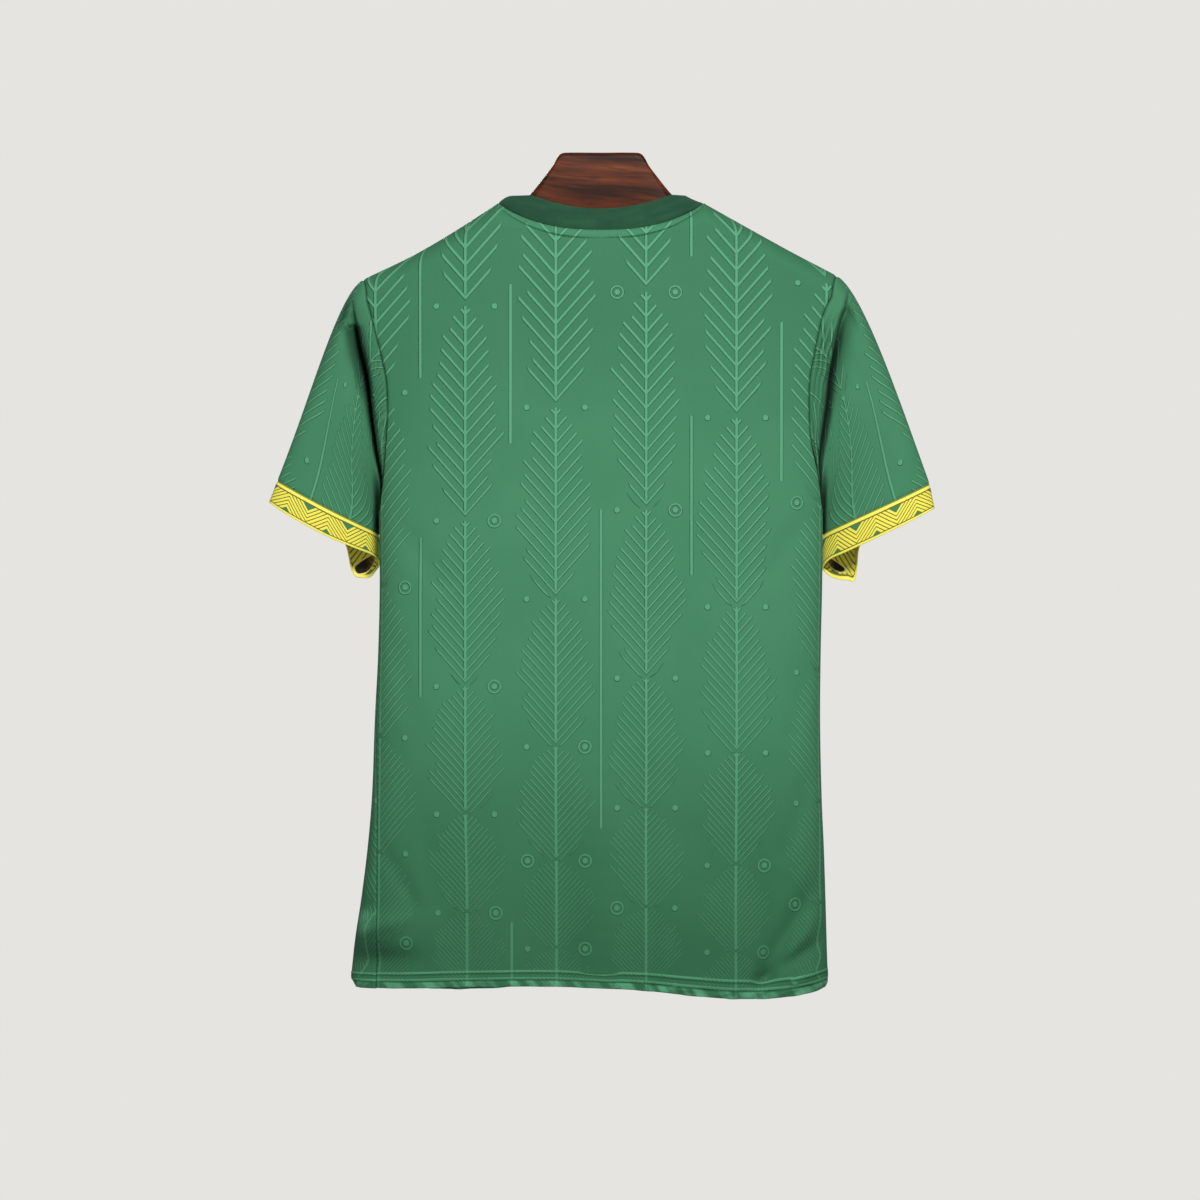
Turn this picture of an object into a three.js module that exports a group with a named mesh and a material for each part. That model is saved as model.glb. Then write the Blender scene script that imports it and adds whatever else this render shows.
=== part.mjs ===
// A short-sleeved football jersey hanging on a broad wooden hanger, at its real size.
// Units are millimetres. +Z is up, +Y is the wearer's back and +X is the wearer's left side.
// The origin is the centre of the hanger's flat top, the point by which the hanger is held.
import * as THREE from 'three';

// Driving dimensions.
const CLOTH = 1.6; // wall of the knitted cloth
const RIB = 2.2; // wall of the ribbed collar
const SEAM_GAP = 0.36; // clearance between two sewn pieces
const HANGER_GAP = 0.6; // clearance between the cloth and the wood
const HEM_Z = -776; // height of the hem at the side seams
const UNDERARM_Z = -338; // lowest point of the armholes
const NECK_X = 96; // half the neck seam's width at the shoulder ridge
const NECK_Z = -47; // height of the ridge at the neck
const BACK_NECK_DROP = 25; // how far the neck seam falls at the centre back
const BACK_NECK_CURVE = 2.5; // exponent of the back neck's curve
const FRONT_NECK_DROP = 85; // how far it falls at the centre front
const FRONT_NECK_CURVE = 1.5; // exponent of the front neck's curve
const SHOULDER_X = 218; // half the width across the shoulders
const SHOULDER_Z = -118; // height of the ridge at the left shoulder's end
const RIGHT_LIFT = 3.5; // how much higher the right shoulder's end hangs
const LEFT_SAG = 3; // how far the cloth sags between neck and shoulder
const RIGHT_SAG = 0.4;
const RIDGE_ROUND = 20; // height over which the cloth rounds over the hanger
const NECK_LEAN = 0.34; // cosine of the slope of the cloth at the centre of the neck seam
const CORNER = 3.4; // exponent of the torso's squarish oval section

// Torso, read by height at the side: half-widths left and right, and depths behind and in front.
const TORSO = [
  { z: -776, left: 233.5, right: 211.5, back: 50, front: 60 },
  { z: -741, left: 229.7, right: 210.3, back: 49, front: 59 },
  { z: -695, left: 222.5, right: 209, back: 48, front: 58 },
  { z: -648, left: 216.7, right: 207.5, back: 47.5, front: 57 },
  { z: -602, left: 213, right: 205.5, back: 47, front: 56 },
  { z: -532, left: 210.5, right: 204, back: 46, front: 54 },
  { z: -470, left: 207.5, right: 204.5, back: 45, front: 52 },
  { z: -400, left: 206, right: 206, back: 44, front: 50 },
  { z: -338, left: 206.5, right: 206.5, back: 43, front: 48 },
  { z: -290, left: 206.5, right: 206.5, back: 41, front: 44 },
  { z: -235, left: 210, right: 210, back: 37, front: 39 },
  { z: -185, left: 224, right: 224, back: 32, front: 33 },
  { z: -138, left: 250, right: 250, back: 27, front: 27 },
];

// Armhole seams, read by height: distance from the centre line on the back and on the front.
const ARMHOLE = [
  { z: -338, back: 206.5, front: 206.5 },
  { z: -322, back: 204.2, front: 203 },
  { z: -300, back: 201.5, front: 198 },
  { z: -270, back: 197.5, front: 192.5 },
  { z: -235, back: 195.5, front: 190 },
  { z: -205, back: 198.5, front: 193 },
  { z: -170, back: 206, front: 202.5 },
  { z: -138, back: 218, front: 218 },
];

// The left side seam, read by height: how far it lies behind the side, as a share of the depth there.
const LEFT_SEAM = [
  { z: -776, behind: 0.711 },
  { z: -741, behind: 0.684 },
  { z: -695, behind: 0.615 },
  { z: -648, behind: 0.53 },
  { z: -602, behind: 0.442 },
  { z: -532, behind: 0.325 },
  { z: -470, behind: 0.2 },
  { z: -400, behind: 0.07 },
  { z: -338, behind: 0 },
];

// Hem line, read from the right side to the left: how far it hangs below HEM_Z on each panel.
const HEM = [
  { x: -211, back: 0, front: 0 },
  { x: -194, back: 5, front: 2 },
  { x: -176, back: 8, front: 4 },
  { x: -157, back: 10, front: 5 },
  { x: -120, back: 10, front: 5 },
  { x: -83, back: 7, front: 2 },
  { x: -46, back: 3, front: -1 },
  { x: -8, back: 0.6, front: -2 },
  { x: 66, back: -1.3, front: 1 },
  { x: 140, back: -0.4, front: 4 },
  { x: 178, back: 0.6, front: 2 },
  { x: 233, back: 0, front: 0 },
];

// The torso's largest folds, each a soft trough (or a ridge, where depth is negative) between two points.
const FOLDS = [
  { side: 1, x0: -215, z0: -670, x1: -150, z1: -715, width: 15, depth: 4 },
  { side: 1, x0: -214, z0: -725, x1: -120, z1: -765, width: 14, depth: 6 },
  { side: 1, x0: 208, z0: -690, x1: 170, z1: -768, width: 20, depth: 6 },
  { side: 1, x0: 30, z0: -600, x1: 45, z1: -800, width: 34, depth: 5 },
  { side: 1, x0: -70, z0: -640, x1: -60, z1: -800, width: 30, depth: -4 },
  { side: -1, x0: 120, z0: -330, x1: 105, z1: -800, width: 26, depth: 13 },
  { side: -1, x0: 20, z0: -400, x1: 30, z1: -800, width: 30, depth: -7 },
  { side: -1, x0: -60, z0: -360, x1: -75, z1: -800, width: 24, depth: 11 },
  { side: -1, x0: -150, z0: -420, x1: -140, z1: -800, width: 26, depth: -6 },
];

// The collar's free edge, a squarish oval that falls towards its centre.
const COLLAR_X = 79; // half its width at the shoulder ridge
const COLLAR_Z = -40; // its height there
const COLLAR_LEVEL = 66; // it is level outside this distance from the centre line
const COLLAR_BACK = 21.5; // its depth at the centre back
const COLLAR_FRONT = 22.5; // and at the centre front
const COLLAR_SQUARE = 3.6; // exponent of the oval
const COLLAR_BACK_DROP = 13; // how far it falls at the centre back
const COLLAR_FRONT_DROP = 73; // and at the centre front

// Sleeves: the seam of the cuff and its mouth are slanted ovals, given by their centre, how far they reach
// sideways, how far they fall towards the body, and how much of the rolled end they take. The spread says
// how far the upper arm's line slants outward as it comes to the cuff.
const SLEEVES = [
  {
    name: 'left',
    hand: 1,
    foldDepth: 0.95,
    spread: 0.40,
    seam: { x: 254.7, z: -329.5, reach: 46.6, fall: 24.5, roll: 0.3 },
    mouth: { x: 258, z: -350.5, reach: 51, fall: 25.5, roll: 1 },
  },
  {
    name: 'right',
    hand: -1,
    foldDepth: 1.05,
    spread: 0.36,
    seam: { x: 257, z: -331, reach: 49, fall: 23, roll: 0.3 },
    mouth: { x: 258.8, z: -355.5, reach: 51.8, fall: 25, roll: 1 },
  },
];
const CUFF_DEPTH = 19; // half the opening's depth
const CUFF_LEAN = -24; // how far the underarm side of the opening hangs to the front

// How far the rolled end of the cuff hangs below the oval, by the angle round the opening.
const ROLL = [
  { angle: 15, left: 0, right: 0 },
  { angle: 60, left: 3.5, right: 1.2 },
  { angle: 95, left: 4.5, right: 1.2 },
  { angle: 125, left: 2.5, right: 0.8 },
  { angle: 150, left: 1, right: 0.5 },
  { angle: 175, left: 5, right: 5 },
  { angle: 195, left: 16, right: 11 },
  { angle: 217, left: 25, right: 20 },
  { angle: 228, left: 28, right: 25 },
  { angle: 236, left: 31, right: 29 },
  { angle: 243, left: 29, right: 31 },
  { angle: 250, left: 11, right: 14 },
  { angle: 256, left: 3, right: 2 },
  { angle: 270, left: 0, right: 0 },
];

// The deep fold beside each armhole: its place along the sleeve and its depth, by the way from the shoulder
// to the underarm.
const SLEEVE_FOLD = [
  { way: 0, place: 0.16, back: 0, front: 0 },
  { way: 0.2, place: 0.17, back: 5, front: 2 },
  { way: 0.38, place: 0.21, back: 17, front: 7 },
  { way: 0.6, place: 0.27, back: 22, front: 10 },
  { way: 0.77, place: 0.36, back: 13, front: 6 },
  { way: 0.9, place: 0.45, back: 1, front: 0 },
  { way: 1, place: 0.5, back: 0, front: 0 },
];
const FOLD_STEEP = 9; // length over which the fold drops, from the armhole's side
const FOLD_GENTLE = 34; // length over which it comes out again

const SLEEVE_LEAVE = 27; // pull of the sleeve's cloth where it leaves the shoulder
const SLEEVE_ARRIVE = 0.44; // share of its length over which it settles to the cuff's direction

// Hanger: top line, half thickness and underside from the centre to the arm, and how far the block's flat
// top (0) has become the arm's round one (1).
const HANGER = [
  { x: 0, top: 0, half: 12.5, low: -64, arm: 0 },
  { x: 33, top: 0, half: 12.5, low: -66, arm: 0 },
  { x: 37.5, top: -1.2, half: 12.5, low: -66.5, arm: 0 },
  { x: 40.5, top: -4.5, half: 12.5, low: -67, arm: 0 },
  { x: 44.6, top: -12, half: 12.5, low: -68, arm: 0 },
  { x: 50.2, top: -19.5, half: 12.5, low: -69, arm: 0.1 },
  { x: 56, top: -27, half: 12.5, low: -71, arm: 0.25 },
  { x: 63, top: -35.6, half: 12.5, low: -74, arm: 0.5 },
  { x: 68.5, top: -41.4, half: 12.5, low: -77, arm: 0.75 },
  { x: 74, top: -46.5, half: 12.5, low: -81, arm: 1 },
  { x: 84, top: -49.6, half: 12.5, low: -87, arm: 1 },
  { x: 93, top: -51.4, half: 16, low: -92, arm: 1 },
];
const HANGER_ARM_HEIGHT = 44; // from the arm's top to its underside
const HANGER_END = 213; // half the hanger's length
const HANGER_NECK_ROUND = 5; // rounding at the neck block's top edges
const HANGER_CREST = 0.5; // half the flat crest of the arms
const HANGER_UNDER_ROUND = 6; // rounding along the underside

// How finely the solids are divided.
const ROWS_BELOW = 17; // hem to underarm
const ROWS_ABOVE = 9; // underarm to the foot of the shoulder's rounding
const ROWS_ROUND = 4; // over the shoulder
const SHOULDER_COLUMNS = 5;
const NECK_COLUMNS = 18;
const NECK_EASE = 1.3; // sets the neck's columns closer together at the shoulder ridge
const SLEEVE_STEPS = [0, 0.08, 0.15, 0.2, 0.24, 0.28, 0.33, 0.39, 0.47, 0.57, 0.68, 0.79, 0.9, 1];
const CUFF_STEPS = [0, 0.5, 1];
const COLLAR_STEPS = [0, 0.33, 0.67, 1];

const COLUMNS = 2 * SHOULDER_COLUMNS + NECK_COLUMNS;
const NECK_SHARE = SHOULDER_COLUMNS / COLUMNS;
const BASE_Z = SHOULDER_Z - RIDGE_ROUND;
const UNDERARM_V = (UNDERARM_Z - HEM_Z) / (BASE_Z - HEM_Z);
const BACK = 1;
const FRONT = -1;
const STEP = 1e-4;

const lerp = THREE.MathUtils.lerp;
const radians = THREE.MathUtils.degToRad;
const clamp = THREE.MathUtils.clamp;
const smoothstep = (x, from, to) => THREE.MathUtils.smoothstep(x, from, to);

// A smooth curve through one column of a table, read by another column that rises from row to row.
function profile(rows, key, column) {
  const at = rows.map((row) => row[key]);
  const value = rows.map((row) => row[column]);
  const last = at.length - 1;
  const slope = at.map((_, i) => {
    const a = Math.max(i - 1, 0);
    const b = Math.min(i + 1, last);
    return (value[b] - value[a]) / (at[b] - at[a]);
  });
  return (where) => {
    const x = clamp(where, at[0], at[last]);
    let i = 0;
    while (i < last - 1 && x > at[i + 1]) i += 1;
    const width = at[i + 1] - at[i];
    const t = (x - at[i]) / width;
    const rise = t * t * (3 - 2 * t);
    const leave = t * (1 - t) * (1 - t) * width * slope[i];
    const arrive = t * t * (t - 1) * width * slope[i + 1];
    return lerp(value[i], value[i + 1], rise) + leave + arrive;
  };
}

const torsoLeft = profile(TORSO, 'z', 'left');
const torsoRight = profile(TORSO, 'z', 'right');
const torsoBack = profile(TORSO, 'z', 'back');
const torsoFront = profile(TORSO, 'z', 'front');
const armholeBack = profile(ARMHOLE, 'z', 'back');
const armholeFront = profile(ARMHOLE, 'z', 'front');
const leftSeam = profile(LEFT_SEAM, 'z', 'behind');
const hemBack = profile(HEM, 'x', 'back');
const hemFront = profile(HEM, 'x', 'front');
const rollDrop = { left: profile(ROLL, 'angle', 'left'), right: profile(ROLL, 'angle', 'right') };
const foldPlace = profile(SLEEVE_FOLD, 'way', 'place');
const foldBack = profile(SLEEVE_FOLD, 'way', 'back');
const foldFront = profile(SLEEVE_FOLD, 'way', 'front');

// Height of the shoulder ridge at a distance from the centre line.
function ridge(x) {
  const share = (Math.abs(x) - NECK_X) / (SHOULDER_X - NECK_X);
  const end = x > 0 ? SHOULDER_Z : SHOULDER_Z + RIGHT_LIFT;
  const sag = x > 0 ? LEFT_SAG : RIGHT_SAG;
  return lerp(NECK_Z, end, share) - sag * Math.sin(Math.PI * clamp(share, 0, 1));
}

// The angle round the neck seam, 0 at the shoulder ridge and a right angle at the centre.
function neckAngle(inward) {
  return (Math.PI / 2) * ((inward - NECK_SHARE) / (0.5 - NECK_SHARE)) ** NECK_EASE;
}

// The top edge of a panel at a column: its place across, the height of the rounding's foot, and the angle
// at which the edge cuts the rounding, 0 on the ridge and 90 degrees where the panel hangs straight.
function topEdge(side, s) {
  const hand = s < 0.5 ? 1 : -1;
  const inward = Math.min(s, 1 - s);
  if (inward <= NECK_SHARE) {
    const x = lerp(SHOULDER_X, NECK_X, inward / NECK_SHARE);
    return { x: hand * x, foot: ridge(hand * x) - RIDGE_ROUND, angle: 0 };
  }
  const turn = neckAngle(inward);
  if (side === FRONT) {
    const fall = FRONT_NECK_DROP * Math.sin(turn) ** FRONT_NECK_CURVE;
    const cosine = Math.max(NECK_LEAN, 1 - fall / RIDGE_ROUND);
    const x = hand * NECK_X * Math.cos(turn);
    return { x, foot: NECK_Z - fall - RIDGE_ROUND * cosine, angle: Math.acos(cosine) };
  }
  const share = 0.5 * Math.cos(turn) + 0.5 * (1 - turn / (Math.PI / 2));
  const seam = NECK_Z - BACK_NECK_DROP * (1 - share ** BACK_NECK_CURVE);
  const cosine = lerp(NECK_LEAN, 1, share ** 2);
  return { x: hand * NECK_X * share, foot: seam - RIDGE_ROUND * cosine, angle: Math.acos(cosine) };
}

// The angle on the torso's oval at which a point lies so far from the centre line.
function angleAt(x, halfWidth) {
  return Math.acos(Math.min(1, x / halfWidth) ** (CORNER / 2));
}

// Where a panel's edge lies on the torso's oval: on the armhole, or on the side seam below it.
function edgeAngle(side, hand, z) {
  const halfWidth = hand > 0 ? torsoLeft(z) : torsoRight(z);
  if (z > UNDERARM_Z) {
    return angleAt(side === BACK ? armholeBack(z) : armholeFront(z), halfWidth);
  }
  return hand > 0 ? side * Math.asin(leftSeam(z) ** (CORNER / 2)) : 0;
}

const power = (value) => Math.sign(value) * Math.abs(value) ** (2 / CORNER);

// How far the folds push a point of the torso inwards.
function foldDepth(side, x, z) {
  let depth = 0;
  for (const fold of FOLDS.filter((each) => each.side === side)) {
    const run = new THREE.Vector2(fold.x1 - fold.x0, fold.z1 - fold.z0);
    const from = new THREE.Vector2(x - fold.x0, z - fold.z0);
    const along = from.dot(run) / run.lengthSq();
    const off = Math.abs(from.cross(run)) / run.length();
    const ends = smoothstep(along, -0.1, 0.45) * (1 - smoothstep(along, 1, 1.2));
    depth += fold.depth * ends * Math.exp(-((off / fold.width) ** 2));
  }
  return depth;
}

// A point of a panel's outer face: s runs from the left edge to the right, v from the hem (0) over the
// foot of the shoulder's rounding (1) to the top edge (2).
function panelPoint(side, s, v) {
  const body = Math.min(v, 1);
  const sideZ = lerp(HEM_Z, BASE_Z, body);
  const left = edgeAngle(side, 1, sideZ);
  const right = edgeAngle(side, -1, sideZ);
  const top = topEdge(side, s);
  const topWidth = torsoLeft(BASE_Z);
  const topCorner = angleAt(SHOULDER_X, topWidth);
  const topAngle = top.x > 0 ? angleAt(top.x, topWidth) : Math.PI - angleAt(-top.x, topWidth);
  const topShare = (topAngle - topCorner) / (Math.PI - 2 * topCorner);
  const share = lerp(s, topShare, smoothstep(body, UNDERARM_V - 0.25, 1));
  const angle = left + (Math.PI - left - right) * share;
  const halfWidth = Math.cos(angle) > 0 ? torsoLeft(sideZ) : torsoRight(sideZ);
  const behind = side === BACK ? Math.sin(angle) > 0 : Math.sin(angle) < 0;
  const depth = behind ? torsoBack(sideZ) : torsoFront(sideZ);
  const x = halfWidth * power(Math.cos(angle));
  const hem = side === BACK ? hemBack(x) : hemFront(x);
  let y = side * depth * power(Math.sin(angle));
  let z = lerp(HEM_Z - hem, top.foot, body);
  const inside = smoothstep(Math.min(s, 1 - s), 0.02, 0.16);
  y -= side * foldDepth(side, x, z) * inside * (1 - smoothstep(body, 0.8, 0.95));
  if (v > 1) {
    const turn = lerp(Math.PI / 2, top.angle, v - 1);
    y *= Math.sin(turn);
    z += RIDGE_ROUND * Math.cos(turn);
  }
  return new THREE.Vector3(x, y, z);
}

// The unit normal of a surface given as a function of two shares, by small differences inside its range.
function normalOf(surface, u, v, uRange, vRange, sign) {
  const u0 = Math.max(u - STEP, uRange[0]);
  const u1 = Math.min(u + STEP, uRange[1]);
  const v0 = Math.max(v - STEP, vRange[0]);
  const v1 = Math.min(v + STEP, vRange[1]);
  const along = surface(u1, v).sub(surface(u0, v));
  const up = surface(u, v1).sub(surface(u, v0));
  return along.cross(up).normalize().multiplyScalar(sign);
}

// A panel's normal, read on the point's own side of the underarm, where the edge turns onto the armhole.
function panelNormal(side, s, v) {
  const heights = v > UNDERARM_V ? [UNDERARM_V, 2] : [0, UNDERARM_V];
  return normalOf((a, b) => panelPoint(side, a, b), s, v, [0, 1], heights, side);
}

// The armhole as a loop: turn runs from the shoulder (0) down the back to the underarm (0.5) and up the
// front (1).
function armholeAt(hand, turn) {
  const side = turn <= 0.5 ? BACK : FRONT;
  const way = side === BACK ? 2 * turn : 2 * (1 - turn);
  const round = ROWS_ROUND / (ROWS_ROUND + ROWS_ABOVE);
  const v = way < round ? lerp(2, 1, way / round) : lerp(1, UNDERARM_V, (way - round) / (1 - round));
  return { side, way, v, s: hand > 0 ? 0 : 1 };
}

function armholePoint(hand, turn) {
  const at = armholeAt(hand, turn);
  return panelPoint(at.side, at.s, at.v);
}

// An oval of the sleeve's opening, with its rolled end.
function openingPoint(sleeve, loop, turn) {
  const angle = 2 * Math.PI * turn;
  const lean = CUFF_LEAN * 0.5 * (1 - Math.cos(angle));
  const drop = loop.roll * rollDrop[sleeve.name](360 * turn);
  return new THREE.Vector3(
    sleeve.hand * (loop.x + loop.reach * Math.cos(angle)),
    CUFF_DEPTH * Math.sin(angle) + lean,
    loop.z + loop.fall * Math.cos(angle) - drop,
  );
}

// The direction and the pull with which the sleeve's cloth leaves the armhole.
function sleeveStart(sleeve, turn) {
  const at = armholeAt(sleeve.hand, turn);
  const under = smoothstep(at.way, 0.6, 1);
  const over = 1 - smoothstep(at.way, 0, 0.45);
  const out = new THREE.Vector3(sleeve.hand, 0.12 * at.side * (1 - over), 0);
  out.z = lerp(-0.18, -0.56, over);
  out.lerp(new THREE.Vector3(sleeve.hand * 0.9, -0.25, -0.25), under);
  return out.normalize().multiplyScalar(lerp(SLEEVE_LEAVE, 13, under));
}

// A point of a sleeve's outer face: turn as on the armhole, t from the armhole (0) to the cuff's seam (1).
function sleevePoint(sleeve, turn, t) {
  const at = armholeAt(sleeve.hand, turn);
  const start = armholePoint(sleeve.hand, turn);
  const end = cuffPoint(sleeve, turn, 0);
  const onward = cuffPoint(sleeve, turn, 1).sub(end).normalize();
  const down = new THREE.Vector3(sleeve.hand * sleeve.spread, 0, -1).normalize();
  onward.lerp(down, 1 - smoothstep(at.way, 0, 0.45));
  const length = start.distanceTo(end);
  const leave = start.clone().add(sleeveStart(sleeve, turn));
  const arrive = end.clone().addScaledVector(onward, -SLEEVE_ARRIVE * length);
  const point = new THREE.CubicBezierCurve3(start, leave, arrive, end).getPoint(t);
  const place = foldPlace(at.way);
  const reach = (t < place ? FOLD_STEEP : FOLD_GENTLE) / length;
  const depth = (at.side === BACK ? foldBack(at.way) : foldFront(at.way)) * sleeve.foldDepth;
  point.y -= at.side * depth * Math.exp(-(((t - place) / reach) ** 2));
  return point;
}

function cuffPoint(sleeve, turn, t) {
  return openingPoint(sleeve, sleeve.seam, turn).lerp(openingPoint(sleeve, sleeve.mouth, turn), t);
}

// A loop's point and direction for turns past its ends.
const wrap = (turn) => turn - Math.floor(turn);

// The frame of a seam: the normal that both pieces share and the direction across the seam to the second
// piece.
function seamFrame(along, normalA, normalB, across) {
  const normal = normalA.clone().add(normalB).normalize();
  const over = along.clone().cross(normal).normalize();
  if (over.dot(across) < 0) over.negate();
  return { normal, over };
}

function armholeFrame(sleeve, turn) {
  const at = armholeAt(sleeve.hand, turn);
  const point = armholePoint(sleeve.hand, turn);
  const before = armholePoint(sleeve.hand, wrap(turn - 2 * STEP));
  const after = armholePoint(sleeve.hand, wrap(turn + 2 * STEP));
  const along = after.sub(before).normalize();
  const across = sleeveStart(sleeve, turn).normalize();
  const panel = panelNormal(at.side, at.s, at.v);
  if (turn === 0 || turn === 0.5) {
    const other = at.side === BACK ? FRONT : BACK;
    panel.add(panelNormal(other, at.s, at.v)).normalize();
  }
  const cloth = along.clone().cross(across).normalize().multiplyScalar(-sleeve.hand);
  return { point, ...seamFrame(along, panel, cloth, across) };
}

// The neck seam as a loop: turn runs from the left ridge (0) round the back to the right ridge (0.5) and on.
function neckAt(turn) {
  const side = turn <= 0.5 ? BACK : FRONT;
  const share = side === BACK ? 2 * turn : 2 * (1 - turn);
  return { side, s: lerp(NECK_SHARE, 1 - NECK_SHARE, share), share };
}

function neckPoint(turn) {
  const at = neckAt(turn);
  return panelPoint(at.side, at.s, 2);
}

function collarEdge(turn) {
  const at = neckAt(turn);
  const seam = neckPoint(turn);
  const across = Math.min(1, Math.abs(seam.x) / NECK_X);
  const depth = at.side === BACK ? COLLAR_BACK : -COLLAR_FRONT;
  const fall = at.side === BACK
    ? COLLAR_BACK_DROP * (1 - Math.min(1, (across * COLLAR_X) / COLLAR_LEVEL) ** 2)
    : COLLAR_FRONT_DROP * Math.sin(neckAngle(Math.min(at.s, 1 - at.s))) ** FRONT_NECK_CURVE;
  return new THREE.Vector3(
    COLLAR_X * Math.sign(seam.x) * across,
    depth * (1 - across ** COLLAR_SQUARE) ** (1 / COLLAR_SQUARE),
    COLLAR_Z - fall,
  );
}

// A point of the collar's outer face, t from the neck seam (0) to the free edge (1).
function collarPoint(turn, t) {
  const point = neckPoint(turn).lerp(collarEdge(turn), t);
  const end = Math.cos(2 * Math.PI * turn);
  const swell = 1 + 1.6 * Math.max(0, end) - 1.6 * Math.max(0, -end);
  point.z += swell * Math.sin(Math.PI * t);
  return point;
}

function neckFrame(turn) {
  const at = neckAt(turn);
  const point = neckPoint(turn);
  const before = neckPoint(wrap(turn - 2 * STEP));
  const after = neckPoint(wrap(turn + 2 * STEP));
  const along = after.sub(before).normalize();
  const across = collarPoint(turn, 0.1).sub(point).normalize();
  const panel = panelNormal(at.side, at.s, 2);
  if (turn === 0 || turn === 0.5) {
    panel.add(panelNormal(at.side === BACK ? FRONT : BACK, at.s, 2)).normalize();
  }
  const cloth = along.clone().cross(across).normalize();
  if (cloth.dot(panel) < -0.3) cloth.negate();
  return { point, ...seamFrame(along, panel, cloth, across) };
}

// A closed wall from a grid of outer points and a grid of inner ones. A grid that closes on itself joins
// its last column to its first.
function wallGeometry(outer, inner, closed) {
  const rows = outer.length;
  const columns = outer[0].length;
  const positions = [...outer.flat(), ...inner.flat()].flatMap((p) => [p.x, p.y, p.z]);
  const innerStart = rows * columns;
  const index = [];
  const quad = (a, b, c, d) => index.push(a, b, c, a, c, d);
  const at = (layer, i, j) => layer * innerStart + i * columns + (j % columns);
  const spans = closed ? columns : columns - 1;
  for (let i = 0; i < rows - 1; i += 1) {
    for (let j = 0; j < spans; j += 1) {
      quad(at(0, i, j), at(0, i, j + 1), at(0, i + 1, j + 1), at(0, i + 1, j));
      quad(at(1, i, j), at(1, i + 1, j), at(1, i + 1, j + 1), at(1, i, j + 1));
    }
  }
  for (let j = 0; j < spans; j += 1) {
    quad(at(0, 0, j), at(1, 0, j), at(1, 0, j + 1), at(0, 0, j + 1));
    const end = rows - 1;
    quad(at(0, end, j), at(0, end, j + 1), at(1, end, j + 1), at(1, end, j));
  }
  if (!closed) {
    for (let i = 0; i < rows - 1; i += 1) {
      quad(at(0, i, 0), at(0, i + 1, 0), at(1, i + 1, 0), at(1, i, 0));
      const end = columns - 1;
      quad(at(0, i, end), at(1, i, end), at(1, i + 1, end), at(0, i + 1, end));
    }
  }
  return facingOut(positions, index);
}

// A geometry whose faces point outwards: turned round if the volume it encloses comes out negative.
function facingOut(positions, index) {
  const [a, b, c] = [new THREE.Vector3(), new THREE.Vector3(), new THREE.Vector3()];
  let volume = 0;
  for (let i = 0; i < index.length; i += 3) {
    a.fromArray(positions, 3 * index[i]);
    b.fromArray(positions, 3 * index[i + 1]);
    c.fromArray(positions, 3 * index[i + 2]);
    volume += a.dot(b.cross(c));
  }
  const ordered = volume < 0 ? index.slice().reverse() : index;
  const geometry = new THREE.BufferGeometry();
  geometry.setAttribute('position', new THREE.Float32BufferAttribute(positions, 3));
  geometry.setIndex(ordered);
  geometry.computeVertexNormals();
  return geometry;
}

// A wall of even thickness inside a grid of outer points.
function wallInside(outer, normals, thickness, closed) {
  const inner = outer.map((row, i) =>
    row.map((point, j) => point.clone().addScaledVector(normals[i][j], -thickness)),
  );
  return wallGeometry(outer, inner, closed);
}

const spread = (count, from, to) => Array.from({ length: count + 1 }, (_, i) => lerp(from, to, i / count));

function panel(side) {
  const rows = [
    ...spread(ROWS_BELOW, 0, UNDERARM_V),
    ...spread(ROWS_ABOVE, UNDERARM_V, 1).slice(1),
    ...spread(ROWS_ROUND, 1, 2).slice(1),
  ];
  const columns = spread(COLUMNS, 0, 1);
  const topRow = rows.length - 1;
  const outer = rows.map((v) => columns.map((s) => panelPoint(side, s, v)));
  const normals = rows.map((v) => columns.map((s) => panelNormal(side, s, v)));
  // The armhole and neck edges share their normal with the piece that is sewn to them.
  const loopTurn = (way) => (side === BACK ? way / 2 : 1 - way / 2);
  const lastAbove = ROWS_ABOVE + ROWS_ROUND;
  for (let k = 0; k <= lastAbove; k += 1) {
    const turn = wrap(loopTurn(1 - k / lastAbove));
    normals[ROWS_BELOW + k][0] = armholeFrame(SLEEVES[0], turn).normal;
    normals[ROWS_BELOW + k][COLUMNS] = armholeFrame(SLEEVES[1], turn).normal;
  }
  for (let k = 0; k <= NECK_COLUMNS; k += 1) {
    normals[topRow][SHOULDER_COLUMNS + k] = neckFrame(wrap(loopTurn(k / NECK_COLUMNS))).normal;
  }
  for (let i = 0; i < ROWS_BELOW; i += 1) {
    for (const s of [0, 1]) {
      const shared = panelNormal(BACK, s, rows[i]).add(panelNormal(FRONT, s, rows[i]));
      normals[i][s * COLUMNS] = shared.normalize();
    }
  }
  // Half the seam's gap is taken off where this panel meets the other one.
  outer.forEach((row, i) => {
    for (const [edge, next] of [[0, 1], [COLUMNS, COLUMNS - 1]]) {
      if (i > ROWS_BELOW) break;
      const inward = row[next].clone().sub(row[edge]).normalize();
      row[edge].addScaledVector(inward, SEAM_GAP / 2);
    }
  });
  for (let j = 0; j <= COLUMNS; j += 1) {
    const onNeck = j > SHOULDER_COLUMNS && j < COLUMNS - SHOULDER_COLUMNS;
    if (!onNeck) outer[topRow][j].y += (side * SEAM_GAP) / 2;
  }
  return wallInside(outer, normals, CLOTH, false);
}

const LOOP = 2 * (ROWS_ABOVE + ROWS_ROUND);
const loopTurns = (count) => spread(count, 0, 1).slice(0, -1);

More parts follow.
